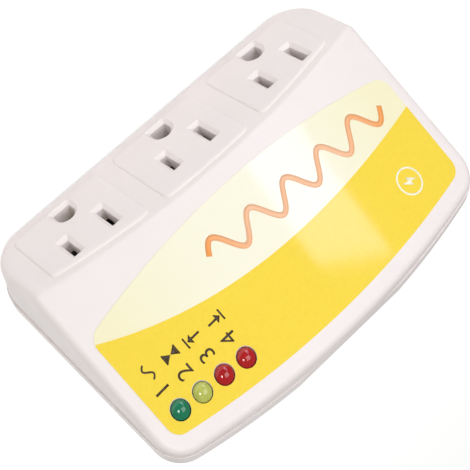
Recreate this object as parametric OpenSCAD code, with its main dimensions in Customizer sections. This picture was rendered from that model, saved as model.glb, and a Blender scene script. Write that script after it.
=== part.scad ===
// Plug-in surge protector: three grounded outlets on a sloping strip, an arched panel with four status
// lights, and a grounded plug on its back. Millimetres.
// The body is drawn lying on its back face: X to the right, Y up the wall, Z out of the wall, with Y zero at
// the ridge between strip and panel. stand() then turns it upright, so that its front faces -Y and +Z is up,
// with the origin on the back face, midway between the two plug blades.

/* [Body] */
// Width of the front cover at the seam
body_w = 118.2; // [117:0.1:122]
// From the ridge down to the lower wall
below_ridge = 29.6; // [29.2:0.1:31]
// From the ridge up to the middle of the curved upper wall
above_ridge = 51.2; // [50.4:0.1:54]
// Height of the ridge over the back face
ridge_h = 33; // [33:0.1:35]
// Slope of the outlet strip, in degrees
strip_tilt = 26.5; // [26:0.1:27]
// Slope of the label panel, in degrees
label_tilt = 24; // [23:0.1:24.4]
// Radius of the panel's arch from side to side
arch_r = 303; // [290:1:400]
// Radius of the upper wall in plan
top_r = 240; // [225:1:300]
// Radius of the four corners in plan
corner_r = 9; // [8.4:0.1:10]
// Rounding of the front cover's edges
edge_r = 1.7; // [1.2:0.1:1.9]
// Thickness of the front cover
wall = 2; // [1.6:0.05:2.1]
// Lean of the front cover's side walls, as a share of their height
draft_share = 0.04; // [0.02:0.005:0.05]
// Height of the seam over the back face
seam_h = 5.5; // [5.3:0.1:6]
// Height of the dark groove at the seam
seam_gap = 0.6; // [0.4:0.05:0.8]
// How far the rear cover's rim stands outside the front cover
rim_step = 0.4; // [0.2:0.05:0.6]
// Thickness of the rear cover's back wall
back_wall = 2; // [1.8:0.05:2.1]
// Running and seating clearance between plastic pieces
fit = 0.15; // [0.1:0.01:0.2]

/* [Outlets] */
// Distance between neighbouring outlets
outlet_pitch = 35.1; // [34.8:0.05:35.3]
// Distance between the two blades of a plug
blade_spacing = 12.7; // [12.7:0.1:12.9]
// From the blade row to the ground pin
ground_offset = 11.9; // [11.8:0.05:12]
// From the ridge down the strip to the blade row
blade_row_drop = 13.2; // [13:0.05:13.4]
// Width of the raised pad round each outlet
pad_w = 29.4; // [28.5:0.1:30]
// Height of the raised pads
pad_h = 0.5; // [0.3:0.05:0.7]
// From the blade row to a pad's lower edge
pad_low = 15.3; // [15:0.05:15.6]
// Strip left bare between pad and ridge
pad_margin = 3; // [2.6:0.1:3.4]
// Width of the blade slots
slot_w = 2.3; // [2:0.05:2.5]
// Length of the shorter, live slot
live_slot_l = 6.8; // [6.6:0.05:7.2]
// Length of the longer, neutral slot
neutral_slot_l = 8.1; // [7.8:0.05:8.4]
// Width and depth of the bevel round each slot
slot_lead = 0.8; // [0.6:0.05:0.9]
// Radius of the ground hole
ground_hole_r = 2.8; // [2.7:0.05:2.9]
// From the ground hole's centre to its flat side
ground_hole_flat = 2.4; // [2.4:0.05:2.6]

/* [Plug] */
// Height of the plug's blade row over the ridge line
plug_y = 8; // [7.8:0.05:8.2]
// Length of the blades outside the back face
blade_l = 17.5; // [16:0.1:18]
// Width of the blades
blade_w = 6.35; // [6.2:0.05:6.5]
// Thickness of the blades
blade_t = 1.5; // [1.4:0.02:1.6]
// Length of the ground pin outside the back face
pin_l = 20.6; // [19.5:0.1:21]
// Radius of the ground pin
pin_r = 2.38; // [2.3:0.01:2.4]

/* [Label and lights] */
// Thickness of the label film
label_t = 0.25; // [0.15:0.01:0.35]
// Half the width of the label at its upper end
label_half_w = 54.4; // [53:0.1:54.8]
// Bare panel between the ridge and the label's lower edge
label_low = 4.6; // [4:0.1:5.2]
// Radius of the label's lower edge, which curves away from the ridge
label_low_r = 330; // [310:1:360]
// Bare panel round the label's upper edge
label_margin = 4.6; // [4.2:0.1:5]
// Radius of the label's corners
label_corner_r = 4; // [3.4:0.1:4.4]
// Radius of the status lights
light_r = 2.5; // [2.4:0.05:2.6]
// Gap round each light in the panel
light_gap = 0.3; // [0.2:0.05:0.4]
// Distance between neighbouring lights
light_pitch = 7.18; // [7:0.02:7.3]
// Slope of the row of lights, in degrees
light_row_tilt = 6.2; // [5:0.1:7]
// From the right end of the body to the middle of the row of lights
light_row_inset = 21.1; // [20.9:0.1:21.5]
// Middle of the row of lights, over the ridge
light_row_y = 37.2; // [36.6:0.1:37.6]
// How far a light stands out of the panel
light_rise = 1.4; // [1:0.05:1.6]

/* [Circuit] */
// Thickness of the circuit board
board_t = 1.6; // [1.4:0.05:1.7]
// Space under the board
board_gap = 1.4; // [1.2:0.05:1.5]
// Radius of the insulated wires
wire_r = 1.2; // [1:0.05:1.25]
// Radius of the case screws' shanks
screw_r = 1.35; // [1.2:0.05:1.4]

/* [Hidden] */
$fn = 64;
overrun = 1;
hair = 0.02;
reach = 3*body_w;
outlets = [-1, 0, 1];
sides = [-1, 1];

// Colours
shell_white = [0.93, 0.92, 0.90];
label_yellow = [0.96, 0.83, 0.28];
tray_grey = [0.55, 0.56, 0.58];
brass_colour = [0.80, 0.66, 0.32];
steel_colour = [0.72, 0.73, 0.75];
board_green = [0.16, 0.42, 0.24];
case_black = [0.10, 0.10, 0.11];
copper_colour = [0.72, 0.38, 0.20];

// Seam: the front cover's lip goes outside the rear cover's tongue
lip_t = 1.5;
lip_depth = 3;
tongue_t = 1.2;
lip_wall_inset = lip_t + fit + tongue_t;
shoulder_h = seam_h - seam_gap;
front_inset = wall + draft_share*(ridge_h - seam_h);
ball_fn = 24;
fine_fn = 720;
elbow_share = 0.08;
corner_spare = 0.03;
light_count = 4;
arc_steps = 16;
corner_steps = 5;
slab_h = 0.2;

// Case screws, from the back, one in each corner
boss_r = 2.9;
boss_gap = 0.45;
case_low_inset = 7.1;
case_low_rise = 8.6;
case_high_inset = lip_wall_inset + boss_r + boss_gap;
case_low_x = body_w/2 - case_low_inset;
case_low_y = -below_ridge + case_low_rise;
case_high_x = body_w/2 - case_high_inset;
case_high_y = 22;
case_places = [[case_low_x, case_low_y], [-case_low_x, case_low_y], [case_high_x, case_high_y],
    [-case_high_x, case_high_y]];
rear_boss_r = 3.2;
boss_meet_drop = 0.5;
boss_meet_h = seam_h - boss_meet_drop;
screw_head_r = 2.4;
screw_head_h = 1.8;
screw_sink = 0.4;
screw_l = 10;
screw_play = 0.1;
recess_h = screw_sink + screw_head_h;
pilot_spare = 0.6;
cross_w = 0.6;
cross_depth_share = 0.5;

// Contact tray and buses, in the strip's own frame with the blade row at zero
tray_side_gap = 1.7;
tray_margin = 4.3;
tray_half_w = body_w/2 - corner_r - tray_side_gap;
tray_low = ground_offset + tray_margin;
tray_high = 8.6;
tray_depth = 16.3;
tray_top = wall + fit;
tray_bottom = tray_top + tray_depth;
bus_t = 0.8;
bus_h = 6;
bus_offset = 5.9;
bus_depth = 12.9;
bus_bottom = tray_top + bus_depth;
bus_play = 0.6;
clip_half_c = 2.6;
clip_wall = 0.6;
clip_drop = 2.4;
clip_top = tray_top + clip_drop;
clip_pinch_share = 0.3;
clip_bite = 0.05;
clip_pinch = blade_t/2 - clip_bite;
clip_open = 1.7;
clip_base_half = 2.1;
pocket_half_w = 3.1;
pocket_low = 4.4;
pocket_spare = 1.9;
pocket_floor = bus_bottom + pocket_spare;
tail_w = 2.5;
tail_rise = 2.4;
tail_drop = 9.6;
tail_margin = 0.9;
tail_depth = tray_top + tail_drop;
neutral_tail_x = -tray_half_w + tail_margin + tail_w/2;
line_tail_x = tray_half_w - tail_margin - tail_w/2;
ground_bar_c = 5.2;
tray_floor = 2;
ground_floor = tray_bottom - tray_floor;
socket_fit = 0.07;
socket_in_r = pin_r + socket_fit;
socket_wall = 0.7;
socket_drop = 2.8;
socket_top = tray_top + socket_drop;
socket_slit = 1.2;
socket_play = 0.45;
ground_tail_inset = 5.4;
ground_tail_w = 4;
ground_tail_shift = 1;
ground_tail_gap = 0.6;
ground_tail_x = tray_half_w - ground_tail_inset;
ground_tail_y = from_strip([0, ground_tail_shift - ground_offset, -ground_floor]).y;
ground_tail_low = back_wall + ground_tail_gap;
ground_tail_top = from_strip([0, ground_tail_shift - ground_offset, -ground_floor]).z + bus_t/2;
tray_screw_x = outlet_pitch/2;
tray_screw_l = 10.5;
tray_boss_r = 2.9;
tray_boss_h = 5.9;
tray_hole_r = 1.5;
tray_web = 6;

// Plug seat on the rear cover and the plate that clamps the blades
seat_h = 4;
seat_margin = 4.6;
shoulder_t = 1.4;
shoulder_w = 9;
clamp_t = 1.5;
clamp_half_w = 14;
clamp_margin = 5.1;
clamp_low_y = plug_y - ground_offset - clamp_margin;
clamp_high_y = plug_y + clamp_margin;
clamp_screw_x = 11.3;
clamp_screw_drop = 6.5;
clamp_screw_y = plug_y - clamp_screw_drop;
clamp_post_r = 2.4;
clamp_top = seat_h + shoulder_t + clamp_t;
clamp_screw_l = 4.4;
small_screw_r = 1;
small_head_r = 2.1;
small_head_h = 1.5;
tab_w = 4;
tab_rise = 3.1;
wire_gap = 0.2;
tab_top = clamp_top + tab_rise;
tab_z = clamp_top + wire_r + wire_gap;
blade_point = 1.5;
pin_flange_r = 4.2;
pin_neck_r = 2.1;
pin_stand = 0.3;
stud_w = 3;
stud_rise = 2.4;
stud_top = clamp_top + stud_rise;
blade_hole_r = 1.6;
blade_hole_in = 4.2;

// Circuit board
board_z = back_wall + board_gap;
board_top = board_z + board_t;
board_left_gap = 9.9;
board_right_gap = 8.5;
board_high_gap = 10.2;
board_left = -body_w/2 + board_left_gap;
board_right = body_w/2 - board_right_gap;
board_low = 5.5;
board_high = above_ridge - board_high_gap;
notch_half_w = 16;
notch_gap = 1.6;
notch_high = clamp_high_y + notch_gap;
function on_board_share(share) = [board_left + share.x*(board_right - board_left),
    board_low + share.y*(board_high - board_low)];
board_screw_shares = [[0.062, 0.679], [0.697, 0.921], [0.96, 0.634], [0.308, 0.087]];
board_screw_places = [for (share = board_screw_shares) on_board_share(share)];
board_post_r = 2.6;
board_screw_l = 3.9;

// Status lights
light_row_x = body_w/2 - light_row_inset;
light_flange_r = 2.9;
light_flange_h = 1;
light_foot_h = 1.6;
lead_r = 0.25;
lead_half_gap = 1.27;

// Relay, in its own frame with one lower corner at zero
relay_share = [0.062, 0.113];
relay_l = 22;
relay_w = 16;
relay_h = 10.5;
relay_wall = 0.7;
relay_base_t = 1.2;
yoke_t = 1;
yoke_x = 1.2;
yoke_y = 1.6;
yoke_w = 6;
yoke_l = 14.2;
yoke_gap = 0.4;
yoke_top = relay_h - relay_wall - yoke_gap;
coil_y = yoke_y + yoke_w/2;
coil_z = 4.6;
coil_r = 2.95;
core_r = 1.3;
core_play = 0.05;
bobbin_tube_r = 1.75;
flange_t = 0.7;
flange_half = 3.2;
coil_l = 12;
pole_r = 2.2;
pole_t = 0.6;
pole_gap = 0.2;
pole_face_x = yoke_x + yoke_t + coil_l + pole_gap + pole_t;
armature_t = 0.8;
armature_gap = 0.7;
armature_x = pole_face_x + armature_gap;
armature_low = 1.8;
pivot_x = armature_x + armature_t/2;
pivot_z = yoke_top - yoke_t/2;
knuckle_r = 0.5;
spring_t = 0.25;
spring_y = 2.6;
spring_w = 11;
spring_low = 2;
spring_high = 7.5;
button_y = 11.6;
button_z = 2.9;
button_r = 1.1;
button_t = 0.6;
contact_gap = 0.75;
rest_gap = 0.05;
post_t = 0.6;
post_half_w = 1.4;
post_top = 4.6;

// Parts on the board
varistor_shares = [[0.593, 0.465], [0.708, 0.408], [0.824, 0.408]];
varistor_lift = 0.5;
varistor_r = 5;
varistor_t = 4.2;
film_share = [0.764, 0.144];
film_l = 18;
film_w = 7;
film_h = 12.5;
filter_share = [0.91, 0.211];
filter_r = 4;
filter_h = 11.5;
crimp_r = 0.5;
crimp_h = 2;
diode_share = [0.373, 0.645];
diode_pitch = 3.1;
diode_count = 4;
diode_r = 1.35;
diode_l = 5.2;
diode_span = 9;
power_share = [0.824, 0.594];
power_r = 2.1;
power_l = 10.5;
power_span = 14;
resistor_share = [0.619, 0.634];
resistor_pitch = 2.4;
resistor_count = 4;
resistor_r = 0.95;
resistor_l = 3.8;
resistor_span = 7.6;
ceramic_shares = [[0.708, 0.735], [0.273, 0.887]];
ceramic_r = 2.6;
ceramic_t = 2;
chip_share = [0.503, 0.775];
chip_l = 9.6;
chip_w = 6.4;
chip_h = 3.4;
chip_rise = 0.6;
chip_leg_pitch = 2.54;
chip_leg_w = 0.5;
chip_leg_count = 4;
chip_leg_reach = 0.7;
transistor_share = [0.597, 0.944];
transistor_r = 2.3;
transistor_h = 4.6;
transistor_lift = 1.4;
transistor_flat = 1.3;
trimmer_share = [0.162, 0.775];
trimmer_w = 6.8;
trimmer_h = 4.4;
trimmer_rotor_r = 2.4;
trimmer_rotor_h = 0.8;
fuse_share = [0.423, 0.51];
fuse_l = 20;
fuse_r = 2.3;
fuse_cap_t = 0.3;
fuse_cap_l = 5;
fuse_lift = 1.2;
clip_l = 4;
clip_t = 0.4;

// Wires
feed_run = 6;
feed_inset = 2.4;
feed_x = blade_spacing/2 + feed_run;
feed_y = notch_high + feed_inset;
outlet_land_rise = 4.6;
ground_wire_gap = 0.8;
ground_wire_floor_gap = 0.3;
ground_wire_z = clamp_top + wire_r + ground_wire_gap;
ground_wire_low = back_wall + wire_r + ground_wire_floor_gap;

// Shapes shared by several pieces

module stand() rotate([90, 0, 0]) translate([0, -plug_y, 0]) children();

module on_strip() translate([0, -blade_row_drop*cos(strip_tilt), ridge_h - blade_row_drop*sin(strip_tilt)])
    rotate([strip_tilt, 0, 0]) children();

// Point of the strip's own frame, in the body's frame
function from_strip(p) = [p.x,
    (p.y - blade_row_drop)*cos(strip_tilt) - p.z*sin(strip_tilt),
    ridge_h + (p.y - blade_row_drop)*sin(strip_tilt) + p.z*cos(strip_tilt)];

// Fall of the arched panel below its middle line, and heights of panel and strip over the back face
function arch_fall(x, drop) = (arch_r - sqrt(pow(arch_r - drop, 2) - x*x))/cos(label_tilt);
function panel_h(x, y, drop = 0) = ridge_h - tan(label_tilt)*y - arch_fall(x, drop);
function strip_h(y) = ridge_h + tan(strip_tilt)*y;
function ball_h(x, y) = min(strip_h(y) - edge_r/cos(strip_tilt), panel_h(x, y, edge_r));
function ridge_y(x) = (edge_r/cos(strip_tilt) - arch_fall(x, edge_r))/(tan(strip_tilt) + tan(label_tilt));

// Places on the plan's outline, drawn in by inset
function arc_centre_y() = above_ridge - top_r;
function corner_x(inset) = body_w/2 - max(corner_r, inset);
function low_corner_y(inset) = -below_ridge + max(corner_r, inset);
function high_corner_y() = arc_centre_y() + sqrt(pow(top_r - corner_r, 2) - pow(body_w/2 - corner_r, 2));
function turn(place, r, a) = [place.x + r*cos(a), place.y + r*sin(a)];
function arc_share(i) = i/arc_steps;
function half_angle() = atan2(body_w/2 - corner_r, high_corner_y() - arc_centre_y());
function corner_end() = 90 - half_angle();
function right_rim(inset) = concat(
    [for (i = [0 : corner_steps]) turn([corner_x(inset), low_corner_y(inset)], corner_r - inset,
        -90 + 90*i/corner_steps)],
    [for (i = [0 : corner_steps]) turn([corner_x(inset), high_corner_y()], corner_r - inset,
        corner_end()*i/corner_steps)]);
function top_rim(inset) = [for (i = [0 : arc_steps]) turn([0, arc_centre_y()], top_r - inset,
    90 + half_angle()*(2*arc_share(i) - 1))];
function rim(inset) = concat(right_rim(inset), [for (p = right_rim(inset)) [-p.x, p.y]], top_rim(inset));
function lean(p) = edge_r + draft_share*(ball_h(p.x, p.y) - seam_h);

// What rounds one upright corner: all that lies outside a circle, within a fan of angle a from its centre
module corner_cut(place, r, a, flip) mirror([0, flip, 0])
    translate([place.x, flip == 1 ? -place.y : place.y, -overrun]) linear_extrude(reach) difference() {
        polygon([[0, 0], [2*corner_r, 0], [2*corner_r, 2*corner_r], [2*corner_r*cos(a), 2*corner_r*sin(a)]]);
        circle(r + corner_spare);
    }

module corner_cuts(inset) for (m = [0, 1]) mirror([m, 0, 0]) {
    corner_cut([corner_x(inset), high_corner_y()], corner_r - inset, corner_end(), 0);
    corner_cut([corner_x(inset), low_corner_y(inset)], corner_r - inset, 90, 1);
}

// Outline of the body drawn in by inset, with its corners still sharp
module blank(inset, low, high) intersection() {
    translate([-body_w/2 + inset, -below_ridge + inset, low])
        cube([body_w - 2*inset, below_ridge + above_ridge, high - low]);
    translate([0, arc_centre_y(), low - overrun])
        cylinder(r = top_r - inset, h = high - low + 2*overrun, $fn = fine_fn);
}

module block(inset, low, high) difference() {
    blank(inset, low, high);
    corner_cuts(inset);
}

module under_strip(drop) translate([0, 0, ridge_h]) rotate([strip_tilt, 0, 0])
    translate([-reach/2, -reach/2, -reach - drop]) cube([reach, reach, reach]);

module under_panel(drop) translate([0, 0, ridge_h]) rotate([-label_tilt, 0, 0]) translate([0, 0, -arch_r])
    rotate([90, 0, 0]) cylinder(r = arch_r - drop, h = reach, center = true, $fn = fine_fn);

module roof(inset, drop) difference() {
    intersection() {
        blank(inset, 0, ridge_h + overrun);
        under_strip(drop);
        under_panel(drop);
    }
    corner_cuts(inset);
}

module front_skin() hull() {
    translate([0, 0, seam_h]) linear_extrude(slab_h) polygon(concat(
        right_rim(0), top_rim(0),
        [for (i = [2*corner_steps + 1 : -1 : 0]) [-right_rim(0)[i].x, right_rim(0)[i].y]]));
    for (i = [0 : len(rim(edge_r)) - 1]) {
        p = rim(lean(rim(edge_r)[i]))[i];
        translate([p.x, p.y, ball_h(p.x, p.y)]) sphere(edge_r, $fn = ball_fn);
    }
    for (i = [0 : arc_steps]) {
        x = (2*arc_share(i) - 1)*(body_w/2 - edge_r - draft_share*(ridge_h - seam_h));
        translate([x, ridge_y(x), ball_h(x, ridge_y(x))]) sphere(edge_r, $fn = ball_fn);
    }
}

// Rectangular opening that widens by a bevel at its mouth, on the plane z = 0
module bevelled_cut(w, l, lead, depth) {
    translate([-w/2, -l/2, -depth]) cube([w, l, depth + overrun]);
    mouth = lead + overrun;
    intersection() {
        rotate([90, 0, 0]) linear_extrude(l + 2*mouth, center = true)
            polygon([[-w/2, -lead], [w/2, -lead], [w/2 + mouth, overrun], [-w/2 - mouth, overrun]]);
        rotate([90, 0, 90]) linear_extrude(w + 2*mouth, center = true)
            polygon([[-l/2, -lead], [l/2, -lead], [l/2 + mouth, overrun], [-l/2 - mouth, overrun]]);
    }
}

// Ground hole: round towards the blades, straight sides and a flat on the far side
module ground_cut(depth) {
    mouth = slot_lead + overrun;
    translate([0, 0, -depth]) cylinder(r = ground_hole_r, h = depth + overrun);
    translate([0, 0, -slot_lead]) cylinder(r1 = ground_hole_r, r2 = ground_hole_r + mouth, h = mouth);
    translate([0, -ground_hole_flat/2, 0])
        bevelled_cut(2*ground_hole_r, ground_hole_flat, slot_lead, depth);
    translate([0, -ground_hole_flat/2 + slot_lead, 0])
        bevelled_cut(2*ground_hole_r, ground_hole_flat, slot_lead, depth);
}

module outlet_cuts(depth) for (k = outlets) translate([k*outlet_pitch, 0, pad_h]) {
    translate([blade_spacing/2, 0, 0]) bevelled_cut(slot_w, live_slot_l, slot_lead, depth);
    translate([-blade_spacing/2, 0, 0]) bevelled_cut(slot_w, neutral_slot_l, slot_lead, depth);
    translate([0, -ground_offset, 0]) ground_cut(depth);
}

module pad_plan() {
    ridge_curve_r = arch_r*cos(label_tilt)*(tan(strip_tilt) + tan(label_tilt))*cos(strip_tilt);
    intersection() {
        for (k = outlets) translate([k*outlet_pitch - pad_w/2, -pad_low]) square([pad_w, reach]);
        translate([0, blade_row_drop - ridge_curve_r]) circle(ridge_curve_r - pad_margin);
    }
}

// Places of the lights, from the upper red one at the left to the green one at the right
function light_step(i) = (i - (light_count - 1)/2)*light_pitch;
function light_place(i) = [light_row_x + light_step(i)*cos(light_row_tilt),
    light_row_y - light_step(i)*sin(light_row_tilt)];
function light_top(i) = panel_h(light_place(i).x, light_place(i).y) + light_rise;
module at_light(i) translate([light_place(i).x, light_place(i).y, 0]) children();

module screw(r, l, head_r, head_h) difference() {
    union() {
        cylinder(r = r, h = l);
        translate([0, 0, -head_h]) cylinder(r = head_r, h = head_h);
    }
    for (a = [0, 90]) rotate([0, 0, a]) translate([-head_r*cross_depth_share, -cross_w/2, -head_h - overrun])
        cube([2*head_r*cross_depth_share, cross_w, overrun + head_h*cross_depth_share]);
}

// Tube along straight runs from point to point, round at the turns
module wire(points, r) {
    for (i = [1 : len(points) - 1]) {
        d = points[i] - points[i - 1];
        translate(points[i - 1]) rotate([0, acos(d.z/norm(d)), atan2(d.y, d.x)]) cylinder(r = r, h = norm(d));
    }
    for (i = [1 : 1 : len(points) - 2]) translate(points[i]) sphere(r*(1 + elbow_share));
}

// Body with two wire ends that turn down to the board, lying along X
module axial(r, l, span) {
    translate([-l/2, 0, r]) rotate([0, 90, 0]) cylinder(r = r, h = l);
    wire([[-span/2, 0, 0], [-span/2, 0, r], [span/2, 0, r], [span/2, 0, 0]], lead_r);
}

// Covers and label

module front_cover() color(shell_white) stand() difference() {
    union() {
        difference() {
            front_skin();
            roof(front_inset, wall);
            block(lip_t, 0, seam_h + lip_depth);
        }
        intersection() {
            on_strip() translate([0, 0, -wall/2]) linear_extrude(wall/2 + pad_h) pad_plan();
            block(edge_r, seam_h, reach);
        }
        intersection() {
            union() {
                for (p = case_places) translate([p.x, p.y, boss_meet_h]) cylinder(r = boss_r, h = reach);
                on_strip() for (s = sides) translate([s*tray_screw_x, 0, -wall - tray_boss_h])
                    cylinder(r = tray_boss_r, h = tray_boss_h + wall/2);
            }
            roof(front_inset/2, wall/2);
        }
    }
    for (p = case_places) translate([p.x, p.y, boss_meet_h - overrun])
        cylinder(r = screw_r + screw_play/2, h = recess_h + screw_l + pilot_spare - boss_meet_h + overrun);
    on_strip() {
        outlet_cuts(wall + pad_h + overrun);
        for (s = sides) translate([s*tray_screw_x, 0, -wall - tray_boss_h - overrun])
            cylinder(r = small_screw_r + screw_play/2, h = tray_boss_h + overrun + wall/2);
    }
    for (i = [0 : light_count - 1]) at_light(i) cylinder(r = light_r + light_gap, h = reach);
}

module rear_cover() color(shell_white) stand() difference() {
    union() {
        difference() {
            block(-rim_step, 0, shoulder_h);
            block(lip_wall_inset, back_wall, reach);
        }
        difference() {
            block(lip_t + fit, back_wall, seam_h + lip_depth - fit);
            block(lip_wall_inset, back_wall - overrun, reach);
        }
        intersection() {
            for (p = case_places) translate([p.x, p.y, 0]) cylinder(r = rear_boss_r, h = boss_meet_h);
            block(lip_t + fit, 0, ridge_h);
        }
        translate([-blade_spacing/2 - seat_margin, plug_y - ground_offset - seat_margin, 0])
            cube([blade_spacing + 2*seat_margin, ground_offset + 2*seat_margin, seat_h]);
        for (s = sides) translate([s*clamp_screw_x, clamp_screw_y, 0])
            cylinder(r = clamp_post_r, h = seat_h + shoulder_t);
        for (p = board_screw_places) translate([p.x, p.y, 0]) cylinder(r = board_post_r, h = board_z);
    }
    for (p = case_places) translate([p.x, p.y, -overrun]) {
        cylinder(r = screw_r + screw_play, h = reach);
        cylinder(r = screw_head_r + screw_play, h = recess_h + overrun);
    }
    for (s = sides) {
        translate([s*blade_spacing/2 - blade_t/2 - hair, plug_y - blade_w/2 - hair, -overrun])
            cube([blade_t + 2*hair, blade_w + 2*hair, seat_h + 2*overrun]);
        translate([s*clamp_screw_x, clamp_screw_y, clamp_top - clamp_screw_l - pilot_spare/2])
            cylinder(r = small_screw_r + screw_play/2, h = reach);
    }
    translate([0, plug_y - ground_offset, -overrun]) cylinder(r = pin_r + hair, h = reach);
    for (p = board_screw_places) translate([p.x, p.y, board_top - board_screw_l - pilot_spare/2])
        cylinder(r = small_screw_r + screw_play/2, h = reach);
}

// Label: a film on the arched panel, with curved long edges, straight ends and rounded corners
module label() color(label_yellow) stand() {
    low_y = label_low + label_low_r;
    high_y = above_ridge - top_r;
    high_r = top_r - label_margin;
    r = label_corner_r;
    x = label_half_w - r;
    difference() {
        intersection() {
            translate([-label_half_w, 0, 0]) cube([2*label_half_w, reach, ridge_h]);
            translate([0, high_y, 0]) cylinder(r = high_r, h = ridge_h, $fn = fine_fn);
            translate([0, low_y, 0]) cylinder(r = label_low_r, h = ridge_h, $fn = fine_fn);
            under_panel(-label_t);
        }
        under_panel(0);
        for (m = [0, 1]) mirror([m, 0, 0]) {
            corner_cut([x, high_y + sqrt(pow(high_r - r, 2) - x*x)], r, acos(x/(high_r - r)), 0);
            corner_cut([x, low_y - sqrt(pow(label_low_r - r, 2) - x*x)], r, acos(x/(label_low_r - r)), 1);
        }
        for (i = [0 : light_count - 1]) at_light(i) cylinder(r = light_r + light_gap + label_t, h = reach);
    }
}

// Status lights

function light_h(i) = light_top(i) - board_top - light_foot_h;
module status_light(i) at_light(i) translate([0, 0, board_top + light_foot_h]) {
    cylinder(r = light_flange_r, h = light_flange_h);
    cylinder(r = light_r, h = light_h(i) - light_r);
    translate([0, 0, light_h(i) - light_r]) sphere(light_r);
}
module status_light_green() color([0.10, 0.50, 0.35]) stand() status_light(3);
module status_light_yellow() color([0.72, 0.76, 0.35]) stand() status_light(2);
module status_light_red_lower() color([0.62, 0.08, 0.10]) stand() status_light(1);
module status_light_red_upper() color([0.62, 0.08, 0.10]) stand() status_light(0);
module light_leads() color(steel_colour) stand() for (i = [0 : light_count - 1]) at_light(i) for (s = sides)
    translate([s*lead_half_gap, 0, board_top]) cylinder(r = lead_r, h = light_foot_h);

// Outlet contacts

module contact_tray() color(tray_grey) stand() difference() {
    intersection() {
        on_strip() translate([-tray_half_w, -tray_low, -tray_bottom])
            cube([2*tray_half_w, tray_low + tray_high, tray_depth]);
        under_panel(tray_top);
    }
    on_strip() {
        for (k = outlets) {
            for (s = sides) translate([k*outlet_pitch + s*blade_spacing/2 - pocket_half_w, 0, -pocket_floor])
                mirror([0, (1 - s)/2, 0]) translate([0, -pocket_low, 0])
                cube([2*pocket_half_w, pocket_low + bus_offset, pocket_floor]);
            translate([k*outlet_pitch, -ground_offset, -ground_floor])
                cylinder(r = socket_in_r + socket_wall + socket_play, h = ground_floor);
            translate([k*outlet_pitch, -ground_offset, -tray_bottom - overrun])
                cylinder(r = ground_hole_r, h = tray_bottom);
        }
        for (s = sides) {
            x_low = s > 0 ? line_bar_low() : neutral_tail_x - tail_w/2;
            x_high = s > 0 ? line_tail_x + tail_w/2 : neutral_bar_high();
            translate([x_low - bus_play/2, s*bus_offset - bus_t/2 - bus_play/2, -bus_bottom - bus_play/2])
                cube([x_high - x_low + bus_play, bus_t + bus_play, reach]);
        }
        translate([neutral_tail_x - tail_w/2 - bus_play/2, -bus_offset, -tail_depth - bus_t - bus_play/2])
            cube([tail_w + bus_play, bus_offset + tray_high + overrun, reach]);
        translate([line_tail_x - tail_w/2 - bus_play/2, bus_offset, -tail_depth - bus_t - bus_play/2])
            cube([tail_w + bus_play, tray_high + overrun, reach]);
        translate([ground_bar_low() - bus_play/2, -ground_offset - ground_bar_c/2 - bus_play/2, -ground_floor])
            cube([ground_bar_high() - ground_bar_low() + bus_play, ground_bar_c + bus_play, reach]);
        for (s = sides) translate([s*tray_screw_x, 0, -tray_bottom - overrun]) {
            cylinder(r = tray_hole_r, h = reach);
            cylinder(r = small_head_r + screw_play,
                h = tray_depth + tray_top - wall - tray_boss_h - tray_web + overrun);
            translate([0, 0, tray_bottom + overrun - wall - tray_boss_h - fit])
                cylinder(r = tray_boss_r + fit, h = reach);
        }
    }
    translate([ground_tail_x - ground_tail_w/2 - bus_play/2, ground_tail_y - bus_t/2 - bus_play/2,
        ground_tail_low])
        cube([ground_tail_w + bus_play, bus_t + bus_play, ground_tail_top - ground_tail_low]);
}

function line_bar_low() = -outlet_pitch + blade_spacing/2 - clip_base_half;
function neutral_bar_high() = outlet_pitch - blade_spacing/2 + clip_base_half;
function ground_bar_low() = -outlet_pitch - socket_in_r - socket_wall;
function ground_bar_high() = ground_tail_x + ground_tail_w/2;

// One spring leaf of a blade clip, seen along its width: foot, pinch and flared mouth
module clip_leaf() {
    pinch_z = clip_top + (bus_bottom - clip_top)*clip_pinch_share;
    rotate([90, 0, 0]) linear_extrude(2*clip_half_c, center = true) polygon([
        [clip_base_half, -bus_bottom], [clip_base_half - clip_wall, -bus_bottom], [clip_pinch, -pinch_z],
        [clip_open - clip_wall, -clip_top], [clip_open, -clip_top], [clip_pinch + clip_wall, -pinch_z]]);
}

module blade_clip(s) {
    for (m = [0, 1]) mirror([m, 0, 0]) clip_leaf();
    mirror([0, (1 - s)/2, 0]) translate([-clip_base_half, -clip_half_c, -bus_bottom])
        cube([2*clip_base_half, clip_half_c + bus_offset + bus_t/2, bus_t]);
}

module blade_bus(s, x_low, x_high, tail_x, tail_from) on_strip() {
    for (k = outlets) translate([k*outlet_pitch + s*blade_spacing/2, 0, 0]) blade_clip(s);
    translate([x_low, s*bus_offset - bus_t/2, -bus_bottom]) cube([x_high - x_low, bus_t, bus_h]);
    translate([tail_x - tail_w/2, tail_from, -tail_depth - bus_t])
        cube([tail_w, tray_high + tail_rise - tail_from, bus_t]);
}

module line_bus() color(brass_colour) stand()
    blade_bus(1, line_bar_low(), line_tail_x + tail_w/2, line_tail_x, bus_offset - bus_t/2);
module neutral_bus() color(brass_colour) stand()
    blade_bus(-1, neutral_tail_x - tail_w/2, neutral_bar_high(), neutral_tail_x, -bus_offset - bus_t/2);

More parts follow.
